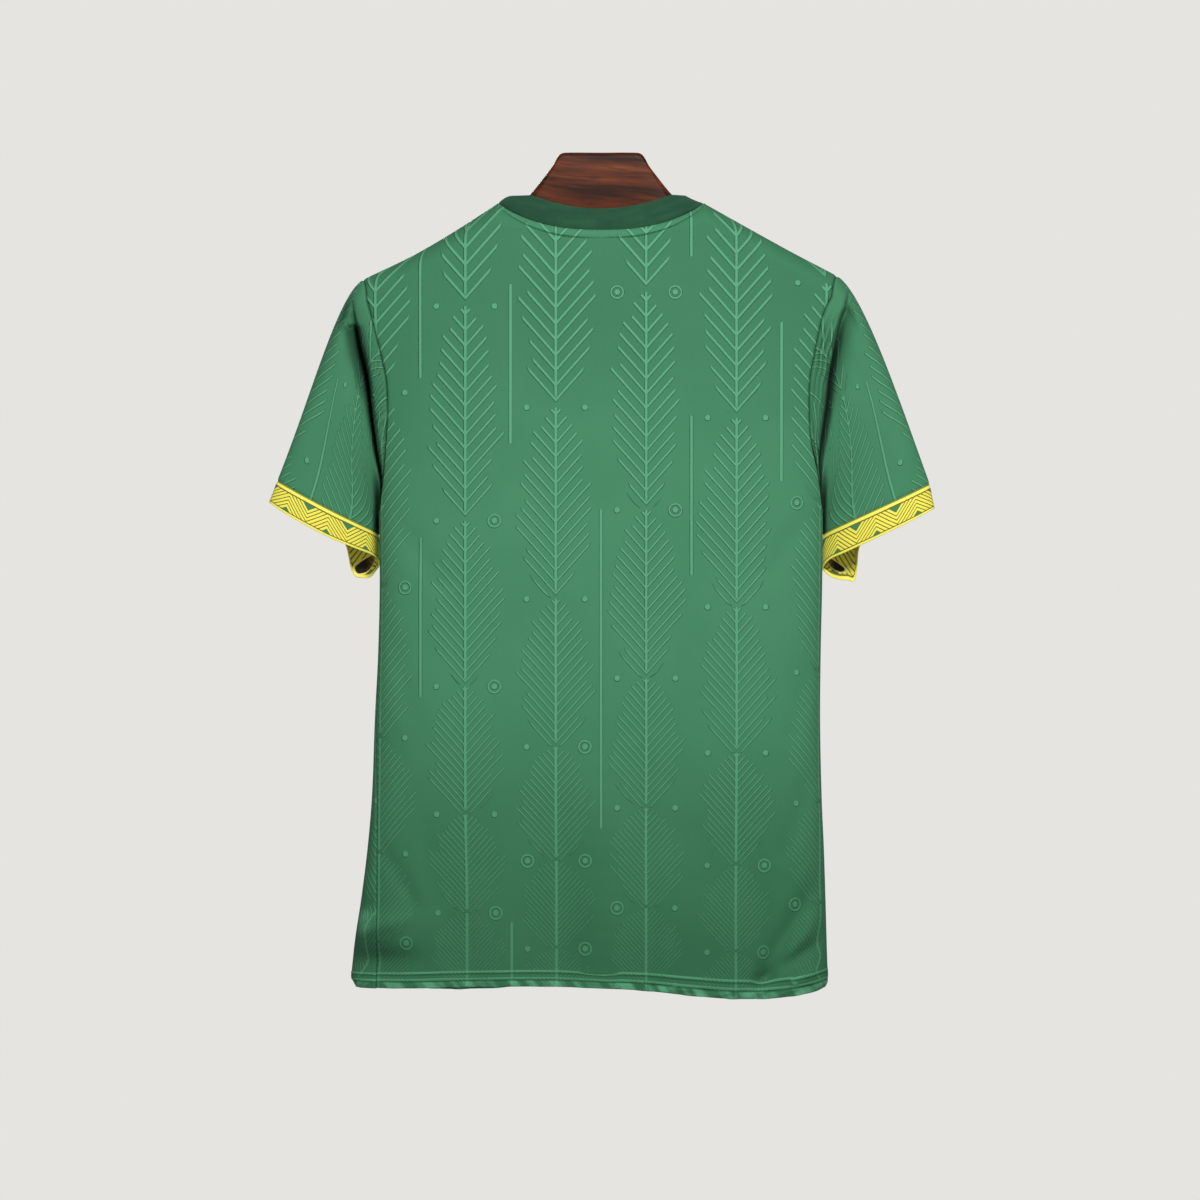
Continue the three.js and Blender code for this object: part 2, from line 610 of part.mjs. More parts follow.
function sleeveGeometry(sleeve) {
  const turns = loopTurns(LOOP);
  const surface = (turn, t) => sleevePoint(sleeve, wrap(turn), t);
  const frames = turns.map((turn) => armholeFrame(sleeve, turn));
  const outer = SLEEVE_STEPS.map((t) => turns.map((turn) => surface(turn, t)));
  const normals = SLEEVE_STEPS.map((t) =>
    turns.map((turn) => normalOf(surface, turn, t, [-1, 2], [0, 1], -sleeve.hand)),
  );
  frames.forEach((frame, j) => {
    outer[0][j].addScaledVector(frame.over, SEAM_GAP);
    normals[0][j] = frame.normal;
  });
  const last = SLEEVE_STEPS.length - 1;
  turns.forEach((turn, j) => {
    normals[last][j] = cuffNormal(sleeve, turn, 0);
  });
  return wallInside(outer, normals, CLOTH, true);
}

function cuffNormal(sleeve, turn, t) {
  return normalOf((a, b) => cuffPoint(sleeve, wrap(a), b), turn, t, [-1, 2], [0, 1], -sleeve.hand);
}

function cuffGeometry(sleeve) {
  const turns = loopTurns(LOOP);
  const outer = CUFF_STEPS.map((t) => turns.map((turn) => cuffPoint(sleeve, turn, t)));
  const normals = CUFF_STEPS.map((t) => turns.map((turn) => cuffNormal(sleeve, turn, t)));
  outer[0].forEach((point, j) => {
    const onward = outer[1][j].clone().sub(point).normalize();
    point.addScaledVector(onward, SEAM_GAP);
  });
  return wallInside(outer, normals, CLOTH, true);
}

function collarGeometry() {
  const turns = loopTurns(2 * NECK_COLUMNS);
  const surface = (turn, t) => collarPoint(wrap(turn), t);
  const outer = COLLAR_STEPS.map((t) => turns.map((turn) => surface(turn, t)));
  const normals = COLLAR_STEPS.map((t) =>
    turns.map((turn) => normalOf(surface, turn, t, [-1, 2], [0, 1], 1)),
  );
  turns.forEach((turn, j) => {
    const frame = neckFrame(turn);
    outer[0][j].addScaledVector(frame.over, SEAM_GAP);
    normals[0][j] = frame.normal;
  });
  return wallInside(outer, normals, RIB, true);
}

// The hanger's stations: those of its neck from the table, and those of its arm under the cloth.
function hangerStations(hand) {
  const inset = CLOTH + HANGER_GAP;
  const neck = HANGER.map((row) => ({
    ...row,
    round: lerp(HANGER_NECK_ROUND, RIDGE_ROUND - inset, row.arm),
  }));
  const arm = spread(5, NECK_X + 2, HANGER_END - 11).map((x) => ({
    x,
    top: ridge(hand * x) - inset,
    half: clothHalf(x) - inset,
    low: ridge(hand * x) - HANGER_ARM_HEIGHT,
    arm: 1,
    round: RIDGE_ROUND - inset,
  }));
  const end = [0.55, 0.82, 1].map((share) => {
    const x = lerp(HANGER_END - 11, HANGER_END, share);
    const shrink = Math.sqrt(1 - (0.86 * share) ** 2);
    const middle = ridge(hand * x) - inset - (HANGER_ARM_HEIGHT - inset) / 2;
    const reach = ((HANGER_ARM_HEIGHT - inset) / 2) * shrink;
    return {
      x,
      top: middle + reach,
      half: (clothHalf(x) - inset) * shrink,
      low: middle - reach,
      arm: 1,
      round: (RIDGE_ROUND - inset) * shrink,
    };
  });
  return [...neck, ...arm, ...end];
}

// Half the garment's depth at the foot of the shoulder's rounding.
function clothHalf(x) {
  const angle = angleAt(x, torsoLeft(BASE_Z));
  return torsoBack(BASE_Z) * power(Math.sin(angle));
}

// One section of the hanger, a closed ring of points in the plane across it.
function hangerSection(station, x) {
  const { top, half, low, arm, round } = station;
  const under = Math.min(HANGER_UNDER_ROUND, half * 0.45);
  const flat = lerp(half - HANGER_NECK_ROUND, HANGER_CREST, arm);
  const over = [0, 22.5, 45, 67.5, 90].map((angle) => [
    flat + (half - flat) * Math.sin(radians(angle)),
    top - round * (1 - Math.cos(radians(angle))),
  ]);
  const foot = [
    [half, low + under],
    [half - 0.3 * under, low + 0.3 * under],
    [half - under, low],
  ];
  const right = [...over, ...foot];
  const left = right.map(([y, z]) => [-y, z]).reverse();
  return [...right, ...left].map(([y, z]) => new THREE.Vector3(x, y, z));
}

function hangerGeometry() {
  const sections = [
    ...hangerStations(-1).slice(1).reverse().map((station) => hangerSection(station, -station.x)),
    ...hangerStations(1).map((station) => hangerSection(station, station.x)),
  ];
  const count = sections[0].length;
  const positions = sections.flat().flatMap((p) => [p.x, p.y, p.z]);
  const index = [];
  for (let i = 0; i < sections.length - 1; i += 1) {
    for (let j = 0; j < count; j += 1) {
      const [a, b] = [i * count + j, i * count + ((j + 1) % count)];
      index.push(a, b, b + count, a, b + count, a + count);
    }
  }
  const last = (sections.length - 1) * count;
  for (let j = 1; j < count - 1; j += 1) {
    index.push(0, j + 1, j, last, last + j, last + j + 1);
  }
  return facingOut(positions, index);
}

// Finish of each piece.
const JERSEY_KNIT = { color: 0x49896a, roughness: 0.62, metalness: 0 };
const COLLAR_RIB = { color: 0x2c5640, roughness: 0.85, metalness: 0 };
const CUFF_KNIT = { color: 0xd9cf45, roughness: 0.7, metalness: 0 };
const STAINED_WOOD = { color: 0x5a2f1e, roughness: 0.4, metalness: 0 };

const jersey = new THREE.Group();

function add(name, geometry, finish) {
  const mesh = new THREE.Mesh(geometry, new THREE.MeshStandardMaterial(finish));
  mesh.name = name;
  jersey.add(mesh);
}

add('back_panel', panel(BACK), JERSEY_KNIT);
add('front_panel', panel(FRONT), JERSEY_KNIT);
for (const sleeve of SLEEVES) {
  add(`${sleeve.name}_sleeve`, sleeveGeometry(sleeve), JERSEY_KNIT);
  add(`${sleeve.name}_cuff`, cuffGeometry(sleeve), CUFF_KNIT);
}
add('collar', collarGeometry(), COLLAR_RIB);
add('hanger', hangerGeometry(), STAINED_WOOD);

export default jersey;
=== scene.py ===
import math
from functools import partialmethod

import bmesh
import bpy
import numpy as np
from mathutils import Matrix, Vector


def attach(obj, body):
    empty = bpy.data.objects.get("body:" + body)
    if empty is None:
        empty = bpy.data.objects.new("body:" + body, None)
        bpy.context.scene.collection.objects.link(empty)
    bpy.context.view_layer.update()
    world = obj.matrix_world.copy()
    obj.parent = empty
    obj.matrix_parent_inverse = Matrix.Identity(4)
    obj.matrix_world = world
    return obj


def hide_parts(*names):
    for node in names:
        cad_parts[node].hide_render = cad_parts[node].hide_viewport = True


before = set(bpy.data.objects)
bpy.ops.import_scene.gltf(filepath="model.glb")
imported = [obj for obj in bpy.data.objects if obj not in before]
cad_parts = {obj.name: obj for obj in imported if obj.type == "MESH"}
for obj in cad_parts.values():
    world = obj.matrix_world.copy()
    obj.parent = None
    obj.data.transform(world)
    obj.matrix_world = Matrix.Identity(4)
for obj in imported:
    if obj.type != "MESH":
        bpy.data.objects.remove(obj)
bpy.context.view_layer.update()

MM = 0.001
BACK, FRONT = 1, -1


def table(text):
    """Numbers from rows of text. The first row names the columns."""
    return np.array([row.split() for row in text.strip().splitlines()[1:]], float)


# Sizes shared with the solids, in millimetres.
HEM_Z = -776.0
UNDERARM_Z = -338.0
NECK_X = 96.0
NECK_Z = -47.0
BACK_NECK_DROP = 25.0
BACK_NECK_CURVE = 2.5
FRONT_NECK_DROP = 85.0
FRONT_NECK_CURVE = 1.5
SHOULDER_X = 218.0
SHOULDER_Z = -118.0
RIGHT_LIFT = 3.5
LEFT_SAG = 3.0
RIGHT_SAG = 0.4
RIDGE_ROUND = 20.0
NECK_LEAN = 0.34
CORNER = 3.4
BASE_Z = SHOULDER_Z - RIDGE_ROUND
UNDERARM_V = (UNDERARM_Z - HEM_Z) / (BASE_Z - HEM_Z)
NECK_SHARE = 5 / 28
NECK_EASE = 1.3
COLLAR_X = 79.0
COLLAR_Z = -40.0
COLLAR_LEVEL = 66.0
COLLAR_BACK = 21.5
COLLAR_FRONT = 22.5
COLLAR_SQUARE = 3.6
COLLAR_BACK_DROP = 13.0
COLLAR_FRONT_DROP = 73.0
ROUND_SHARE = 4 / 13

# Torso by height: half-widths left and right, depths behind and in front.
TORSO = table("""
z left right back front
-776 233.5 211.5 50 60
-741 229.7 210.3 49 59
-695 222.5 209 48 58
-648 216.7 207.5 47.5 57
-602 213 205.5 47 56
-532 210.5 204 46 54
-470 207.5 204.5 45 52
-400 206 206 44 50
-338 206.5 206.5 43 48
-290 206.5 206.5 41 44
-235 210 210 37 39
-185 224 224 32 33
-138 250 250 27 27
""")

# Armhole seams by height: distance from the centre line, on the back left and right, and in front.
ARMHOLE = table("""
z back_left back_right front
-338 206.5 206.5 206.5
-322 205 204.8 203
-300 202.8 202 198
-270 200.6 195.8 192.5
-240 198.8 193.8 190
-212 199.9 194.6 192
-192 204 198.6 196
-170 209.5 204.5 203
-150 214.6 211.6 212
-138 218 218 218
""")
# How far the armhole's end leans outward at the foot of the shoulder's rounding and at its top.
ARMHOLE_END = {1: (-0.4, 3.4), -1: (-3.6, 1.6)}

# Left side seam by height: how far it lies behind the side, as a share of the depth there.
LEFT_SEAM = table("""
z share
-776 0.711
-741 0.684
-695 0.615
-648 0.53
-602 0.442
-532 0.325
-470 0.2
-400 0.07
-338 0
""")

# Hem by distance from the centre line: how far it hangs below HEM_Z on the back and the front.
HEM = table("""
x back front
-211 0 0
-194 5 2
-176 8 4
-157 10 5
-120 10 5
-83 7 2
-46 3 -1
-8 0.6 -2
66 -1.3 1
140 -0.4 4
178 0.6 2
233 0 0
""")

# The largest folds, as in the solids.
FOLDS = table("""
side x0 z0 x1 z1 width depth
1 30 -600 45 -800 34 5
1 -70 -640 -60 -800 30 -4
-1 120 -330 105 -800 26 13
-1 20 -400 30 -800 30 -7
-1 -60 -360 -75 -800 24 11
-1 -150 -420 -140 -800 26 -6
""")

# The smaller creases of the panels, which the solids leave out.
CREASES = table("""
side x0 z0 x1 z1 width depth
1 -209 -664 -150 -762 9 4.6
1 -212 -728 -150 -768 6.5 6.0
1 -209 -700 -166 -760 8 -3.6
1 -214 -752 -180 -772 6 -3.2
1 -204 -560 -172 -648 10 1.6
0 176 -712 226 -722 9 -6.5
0 160 -748 236 -752 11 8.0
0 214 -706 230 -716 4 -1.6
0 214 -668 222 -694 6 -1.8
0 212 -690 222 -704 5 1.6
1 206 -640 172 -700 8 2.0
1 150 -640 124 -772 16 2.4
1 168 -600 156 -700 10 1.4
1 -13 -520 -10 -790 12 -2.2
1 -42 -560 -46 -790 11 2.2
1 36 -560 34 -790 13 2.4
1 -112 -560 -118 -790 15 -2.4
1 -158 -600 -160 -790 14 2.4
1 84 -620 88 -790 14 -1.8
1 96 -90 60 -230 16 1.0
1 -96 -88 -66 -220 16 1.0
1 196 -330 150 -400 12 1.8
1 -198 -330 -156 -392 12 1.8
1 204 -420 176 -520 10 1.2
1 -203 -430 -178 -540 10 1.2
-1 207 -640 160 -740 14 3.5
-1 -208 -660 -150 -752 10 3.0
-1 196 -330 130 -430 12 2.5
-1 -196 -330 -126 -420 12 2.5
-1 40 -150 52 -320 18 1.6
-1 -44 -150 -60 -330 18 1.6
""")

SLEEVES = {
    "left": dict(hand=1, spread=0.40, seam=(254.0, -329.5, 47.3, 24.5, 0.3),
                 mouth=(257.7, -350.5, 51.3, 25.5, 1)),
    "right": dict(hand=-1, spread=0.36, seam=(256.3, -331, 49.7, 23, 0.3),
                  mouth=(258.5, -355.5, 52.1, 25, 1)),
}
CUFF_DEPTH = 19.0
CUFF_LEAN = -24.0
ROLL = table("""
angle left right
15 0 0
60 3.5 1.2
95 4.5 1.2
125 2.5 0.8
150 1 0.5
175 5 5
195 16 11
217 25 20
228 28 25
236 31 28
241 31 31
246 27 24
249 13 6
253 3 1
270 0 0
""")
# The fold beside each armhole, by the way from the shoulder (0) to the underarm (1): its place along
# the sleeve, and the depths of its sharp crevice and of the hollow beside it, behind and in front.
SLEEVE_FOLD = table("""
way place crevice hollow front_crevice front_hollow
0 0.18 0 0 0 0
0.2 0.178 1 5 0 2
0.3 0.178 3 9 1 4
0.4 0.2 9 12 3 6
0.5 0.207 14 13 4 8
0.57 0.228 17 13 5 8
0.65 0.225 19 11 5 7
0.75 0.2 19 9 4 5
0.8 0.171 18 7 3 4
0.85 0.118 15 5 2 3
0.9 0.06 10 3 1 2
0.95 0.03 4 1 0 0
1 0.02 0 0 0 0
""")
SLEEVE_LEAVE = 27.0
SLEEVE_ARRIVE = 0.44


def ease(x, start, end):
    """A smooth step from 0 to 1 as x goes from start to end."""
    t = np.clip((np.asarray(x, float) - start) / (end - start), 0, 1)
    return t * t * (3 - 2 * t)


def lerp(a, b, t):
    return a + (b - a) * t


def bump(x, wide, order=2):
    """1 where x is 0, falling to 0 on both sides."""
    return np.exp(-(x / wide) ** order)


def runs(*spans):
    """Numbers from several spans, each from a start to an end in a count of steps."""
    return np.unique(np.round(np.concatenate([np.linspace(*span) for span in spans]), 6))


def unit(v):
    return v / np.maximum(np.linalg.norm(v, axis=-1, keepdims=True), 1e-9)


def curve(rows, column):
    """A smooth curve through one column of a table, read by its first column."""
    at, value = rows[:, 0], rows[:, column]
    last = len(at) - 1
    run, rise = np.pad(at, 1, "edge"), np.pad(value, 1, "edge")
    slope = (rise[2:] - rise[:-2]) / (run[2:] - run[:-2])

    def read(where):
        x = np.clip(np.asarray(where, float), at[0], at[-1])
        i = np.clip(np.searchsorted(at, x) - 1, 0, last - 1)
        width = at[i + 1] - at[i]
        t = (x - at[i]) / width
        leave = t * (1 - t) ** 2 * width * slope[i]
        arrive = t * t * (t - 1) * width * slope[i + 1]
        return lerp(value[i], value[i + 1], t * t * (3 - 2 * t)) + leave + arrive

    return read


def curves(rows):
    return [curve(rows, column) for column in range(1, rows.shape[1])]


torso_left, torso_right, torso_back, torso_front = curves(TORSO)
armhole_left, armhole_right, armhole_front = curves(ARMHOLE)
left_seam, = curves(LEFT_SEAM)
hem_back, hem_front = curves(HEM)
roll_drop = dict(zip(("left", "right"), curves(ROLL)))
fold_place, crevice_back, hollow_back, crevice_front, hollow_front = curves(SLEEVE_FOLD)


def power(value):
    return np.sign(value) * np.abs(value) ** (2 / CORNER)


def angle_at(x, half):
    return np.arccos(np.minimum(1, np.abs(x) / half) ** (CORNER / 2))


def ridge(x):
    share = (np.abs(x) - NECK_X) / (SHOULDER_X - NECK_X)
    end = np.where(x > 0, SHOULDER_Z, SHOULDER_Z + RIGHT_LIFT)
    sag = np.where(x > 0, LEFT_SAG, RIGHT_SAG)
    return lerp(NECK_Z, end, share) - sag * np.sin(np.pi * np.clip(share, 0, 1))


def neck_angle(inward):
    share = np.clip((inward - NECK_SHARE) / (0.5 - NECK_SHARE), 0, 1)
    return np.pi / 2 * share ** NECK_EASE


def top_edge(side, s):
    """Where a panel's column ends: place across, foot of the rounding, and the edge's angle."""
    hand = np.where(s < 0.5, 1.0, -1.0)
    inward = np.minimum(s, 1 - s)
    shoulder = inward <= NECK_SHARE + 1e-12
    x_shoulder = hand * lerp(SHOULDER_X, NECK_X, np.minimum(inward / NECK_SHARE, 1))
    turn = neck_angle(inward)
    fall = FRONT_NECK_DROP * np.abs(np.sin(turn)) ** FRONT_NECK_CURVE
    share = 0.5 * np.cos(turn) + 0.5 * (1 - turn / (np.pi / 2))
    back_fall = BACK_NECK_DROP * (1 - np.abs(share) ** BACK_NECK_CURVE)
    cosine = np.where(side > 0, lerp(NECK_LEAN, 1, share ** 2),
                      np.maximum(NECK_LEAN, 1 - fall / RIDGE_ROUND))
    x_neck = hand * NECK_X * np.where(side > 0, share, np.cos(turn))
    foot_neck = NECK_Z - np.where(side > 0, back_fall, fall) - RIDGE_ROUND * cosine
    x = np.where(shoulder, x_shoulder, x_neck)
    foot = np.where(shoulder, ridge(x_shoulder) - RIDGE_ROUND, foot_neck)
    angle = np.where(shoulder, 0.0, np.arccos(np.clip(cosine, -1, 1)))
    return x, foot, angle


def top_row(side, s):
    """Foot of the rounding and share of the panel's angle, for a column."""
    top_x, foot, _ = top_edge(side, s)
    width = float(torso_left(BASE_Z))
    corner = angle_at(SHOULDER_X, width)
    top_angle = np.where(top_x > 0, angle_at(top_x, width), np.pi - angle_at(top_x, width))
    return foot, (top_angle - corner) / (np.pi - 2 * corner)


def edge_angle(side, hand, z):
    half = torso_left(z) if hand > 0 else torso_right(z)
    behind = armhole_left(z) if hand > 0 else armhole_right(z)
    armhole = angle_at(np.where(side > 0, behind, armhole_front(z)), half)
    seam = side * np.arcsin(left_seam(z) ** (CORNER / 2)) if hand > 0 else 0.0
    return np.where(z > UNDERARM_Z, armhole, seam)


def soft_edge_angle(side, hand, z):
    """The same, averaged over the height around it, for the cloth away from the edge."""
    total, weight = 0.0, 0.0
    for offset in np.linspace(-48, 48, 25):
        w = math.cos(offset / 50 * math.pi / 2) ** 2
        total = total + w * edge_angle(side, hand, z + offset)
        weight += w
    return total / weight


def creases(rows, x, z, side):
    """Soft troughs (or ridges, where depth is negative) between two points, added together."""
    depth = np.zeros_like(x)
    for which, x0, z0, x1, z1, width, deep in rows:
        if not np.any(side == which):
            continue
        run = np.array([x1 - x0, z1 - z0])
        length = np.hypot(*run)
        dx, dz = x - x0, z - z0
        along = (dx * run[0] + dz * run[1]) / length ** 2
        off = np.abs(dx * run[1] - dz * run[0]) / length
        ends = ease(along, -0.1, 0.45) * (1 - ease(along, 1, 1.2))
        depth += np.where(side == which, deep * ends * bump(off, width), 0)
    return depth


def panel_xyz(side, s, v):
    """Points of a panel's outer face. s runs from the left edge to the right, v from the hem (0) over
    the foot of the shoulder's rounding (1) to the top edge (2)."""
    side, s, v = np.broadcast_arrays(side, s, v)
    body = np.minimum(v, 1)
    side_z = lerp(HEM_Z, BASE_Z, body)
    inward = np.minimum(s, 1 - s)
    away = ease(inward, 0, 0.1) * (1 - ease(body, 0.84, 1))
    left = lerp(edge_angle(side, 1, side_z), soft_edge_angle(side, 1, side_z), away)
    right = lerp(edge_angle(side, -1, side_z), soft_edge_angle(side, -1, side_z), away)
    foot, top_share = top_row(side, s)
    top_turn = top_edge(side, s)[2]
    soft = (1 - ease(body, 0.7, 0.985)) * away
    total, foot_soft, share_soft = 0.0, 0.0, 0.0
    for offset in np.linspace(-0.09, 0.09, 13):
        w = math.cos(offset / 0.1 * math.pi / 2) ** 2
        one, two = top_row(side, np.clip(s + offset, 0, 1))
        total, foot_soft, share_soft = total + w, foot_soft + w * one, share_soft + w * two
    foot, top_share = lerp(foot, foot_soft / total, soft), lerp(top_share, share_soft / total, soft)
    share = lerp(s, top_share, ease(body, UNDERARM_V - 0.25, 1))
    angle = left + (np.pi - left - right) * share
    half = np.where(np.cos(angle) > 0, torso_left(side_z), torso_right(side_z))
    behind = np.where(side > 0, np.sin(angle) > 0, np.sin(angle) < 0)
    depth = np.where(behind, torso_back(side_z), torso_front(side_z))
    x = half * power(np.cos(angle))
    hem = np.where(side > 0, hem_back(x), hem_front(x))
    y = side * depth * power(np.sin(angle))
    z = lerp(HEM_Z - hem, foot, body)
    inside = ease(inward, 0.02, 0.16) * (1 - ease(body, 0.8, 0.95))
    y = y - side * creases(FOLDS, x, z, side) * inside
    y = y - side * creases(CREASES, x, z, side) * ease(inward, 0.0, 0.04)
    y = y - creases(CREASES, x, z, 0) * ease(y, -12, 6)
    turn = lerp(np.pi / 2, top_turn, np.maximum(v - 1, 0))
    y = np.where(v > 1, y * np.sin(turn), y)
    z = np.where(v > 1, z + RIDGE_ROUND * np.cos(turn), z)
    for hand, (foot_lean, top_lean) in ARMHOLE_END.items():
        lean = foot_lean * ease(v, 0.9, 1) + (top_lean - foot_lean) * np.clip(v - 1, 0, 1)
        x = x + hand * lean * (1 - ease(s if hand > 0 else 1 - s, 0, 0.07))
    return np.stack([x, y, z], -1)


def half_turn(turn):
    """The panel beside a place round an opening, and its way from the start (0) to half round."""
    return np.where(turn <= 0.5, 1.0, -1.0), np.where(turn <= 0.5, 2 * turn, 2 * (1 - turn))


def opening_xyz(name, loop, turn):
    x, z, reach, fall, roll = SLEEVES[name][loop]
    angle = 2 * np.pi * turn
    lean = CUFF_LEAN * 0.5 * (1 - np.cos(angle))
    drop = roll * roll_drop[name](360 * turn)
    hand = SLEEVES[name]["hand"]
    bulge = 2.6 * roll * bump(360 * turn - 241, 7)
    return np.stack([hand * (x + reach * np.cos(angle) + bulge), CUFF_DEPTH * np.sin(angle) + lean,
                     z + fall * np.cos(angle) - drop], -1)


def cuff_xyz(name, turn, t):
    return lerp(opening_xyz(name, "seam", turn), opening_xyz(name, "mouth", turn), t[..., None])


def sleeve_xyz(name, turn, t, folded=True):
    """Points of a sleeve's outer face. turn runs from the shoulder down the back (0.5 at the underarm)
    and up the front, t from the armhole (0) to the cuff's seam (1)."""
    data = SLEEVES[name]
    hand = data["hand"]
    side, way = half_turn(turn)
    v = np.where(way < ROUND_SHARE, lerp(2, 1, way / ROUND_SHARE),
                 lerp(1, UNDERARM_V, (way - ROUND_SHARE) / (1 - ROUND_SHARE)))
    start = panel_xyz(side, 0.0 if hand > 0 else 1.0, v)
    end, mouth = opening_xyz(name, "seam", turn), opening_xyz(name, "mouth", turn)
    over = (1 - ease(way, 0, 0.45))[..., None]
    under = ease(way, 0.6, 1)[..., None]
    onward = lerp(unit(mouth - end), unit(np.array([hand * data["spread"], 0, -1.0])), over)
    out = np.stack([np.full_like(turn, hand), 0.12 * side * (1 - over[..., 0]),
                    lerp(-0.18, -0.56, over[..., 0])], -1)
    out = unit(lerp(out, np.array([hand * 0.3, -0.2, -0.9]), under))
    out = out * lerp(SLEEVE_LEAVE, 6.0, under)
    length = np.linalg.norm(end - start, axis=-1)
    leave, arrive = start + out, end - onward * (SLEEVE_ARRIVE * length)[..., None]
    w = t[..., None]
    point = ((1 - w) ** 3 * start + 3 * (1 - w) ** 2 * w * leave
             + 3 * (1 - w) * w ** 2 * arrive + w ** 3 * end)
    if not folded:
        return point
    place = fold_place(way)
    off = (t - place) * length
    near = np.maximum(0.8, np.minimum(2.6, 0.4 * place * length))
    sharp = np.where(side > 0, crevice_back(way), crevice_front(way))
    sharp = sharp * bump(off, np.where(off < 0, near, 5.5))
    broad = np.where(side > 0, hollow_back(way), hollow_front(way))
    broad = broad * bump(off, np.where(off < 0, 1.7 * near, 27.0))
    if name == "left":
        # On the left shoulder a small tuck lies over the top of the hollow.
        lip = -point[..., 2] - 0.3 * (point[..., 0] - 228)
        under = ease(lip, 158, 162)
        broad = np.where(side > 0, broad * lerp(0.25, 1, under), broad)
        tuck = 2.6 * bump(point[..., 0] - 229, 9) * bump(lip - 150, 10) * (1 - under)
        broad = broad - np.where(side > 0, tuck, 0)
    strip = np.where(side > 0, 1.8, 0.8) * ease(way, 0.3, 0.5) * (1 - ease(way, 0.8, 0.95))
    strip = strip * bump(t / np.maximum(place, 0.02) - 0.5, 0.28)
    point[..., 1] -= side * (sharp + broad - strip)
    return point


def collar_xyz(turn, t):
    """Points of the collar's outer face, t from the neck seam (0) to the free edge (1)."""
    side, way = half_turn(turn)
    s = lerp(NECK_SHARE, 1 - NECK_SHARE, way)
    seam = panel_xyz(side, s, 2.0)
    across = np.minimum(1, np.abs(seam[..., 0]) / NECK_X)
    depth = np.where(side > 0, COLLAR_BACK, -COLLAR_FRONT)
    level = 1 - np.minimum(1, across * COLLAR_X / COLLAR_LEVEL) ** 2
    sine = np.abs(np.sin(neck_angle(np.minimum(s, 1 - s))))
    fall = np.where(side > 0, COLLAR_BACK_DROP * level,
                    COLLAR_FRONT_DROP * sine ** FRONT_NECK_CURVE)
    edge = np.stack([COLLAR_X * np.sign(seam[..., 0]) * across,
                     depth * (1 - across ** COLLAR_SQUARE) ** (1 / COLLAR_SQUARE),
                     COLLAR_Z - fall], -1)
    point = lerp(seam, edge, t[..., None])
    end = np.cos(2 * np.pi * turn)
    point[..., 2] += (1 + 1.6 * np.maximum(0, end) - 1.6 * np.maximum(0, -end)) * np.sin(np.pi * t)
    return point


# Grids of points, and what is done to them.

def measures(points, axis):
    """Running length along one direction of a grid, from 0."""
    steps = np.linalg.norm(np.diff(points, axis=axis), axis=-1)
    start = np.zeros_like(np.take(steps, [0], axis=axis))
    return np.concatenate([start, np.cumsum(steps, axis=axis)], axis=axis)


def grid_normals(points, sign, closed=False):
    """Unit normals of a grid. In a closed one the last column repeats the first."""
    if closed:
        points = points[:, :-1]
        along = np.roll(points, -1, axis=1) - np.roll(points, 1, axis=1)
    else:
        along = np.gradient(points, axis=1)
    normals = unit(np.cross(along, np.gradient(points, axis=0))) * sign
    return np.concatenate([normals, normals[:, :1]], 1) if closed else normals


def clustered(count, near, fine):
    """Shares from 0 to 1 with extra ones near both ends, in steps of fine up to near."""
    extra = np.arange(0, near, fine)
    values = np.unique(np.round(np.concatenate([np.linspace(0, 1, count), extra, 1 - extra]), 6))
    keep = np.append(True, np.diff(values) > fine * 0.45)
    keep[-1] = True
    return values[keep]


def quads(index, sign=1):
    """The faces between the neighbours in a grid of numbers."""
    a, b, c, d = index[:-1, :-1], index[:-1, 1:], index[1:, 1:], index[1:, :-1]
    return np.stack([x.ravel() for x in ((a, b, c, d) if sign > 0 else (a, d, c, b))], 1)


def place_object(name, data):
    obj = bpy.data.objects.new(name, data)
    bpy.context.scene.collection.objects.link(obj)
    return obj


def add_piece(name, verts, faces, material):
    """A smooth piece from points in millimetres."""
    mesh = bpy.data.meshes.new(name)
    mesh.from_pydata((verts.reshape(-1, 3) * MM).tolist(), [], faces)
    mesh.polygons.foreach_set("use_smooth", [True] * len(mesh.polygons))
    mesh.materials.append(material)
    mesh.update()
    obj = place_object(name, mesh)
    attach(obj, "root")
    return obj


def add_sheet(name, points, layers, sign, material, closed=False, thickness=0.0):
    """A sheet from a grid of points. Each layer of uv is (rows, columns, 2): cloth is the place on the
    flat cloth, and marks and shade say what its material draws there. A closed grid carries one more
    column of uv than of points."""
    index = np.arange(points.shape[0] * points.shape[1]).reshape(points.shape[:2])
    if closed:
        index = np.concatenate([index, index[:, :1]], 1)
    obj = add_piece(name, points, quads(index, sign).tolist(), material)
    for title, uv in layers.items():
        corners = quads(np.arange(uv.shape[0] * uv.shape[1]).reshape(uv.shape[:2]), sign)
        layer = obj.data.uv_layers.new(name=title)
        layer.data.foreach_set("uv", uv.reshape(-1, 2)[corners.ravel()].ravel().tolist())
    if thickness:
        wall = obj.modifiers.new("wall", "SOLIDIFY")
        wall.thickness = thickness * MM
        wall.offset = -1
    return obj


STITCH_PITCH = 2.6
STITCH_LONG = 1.9
STITCH_RADIUS = 0.24
STITCH_SIDES = 5


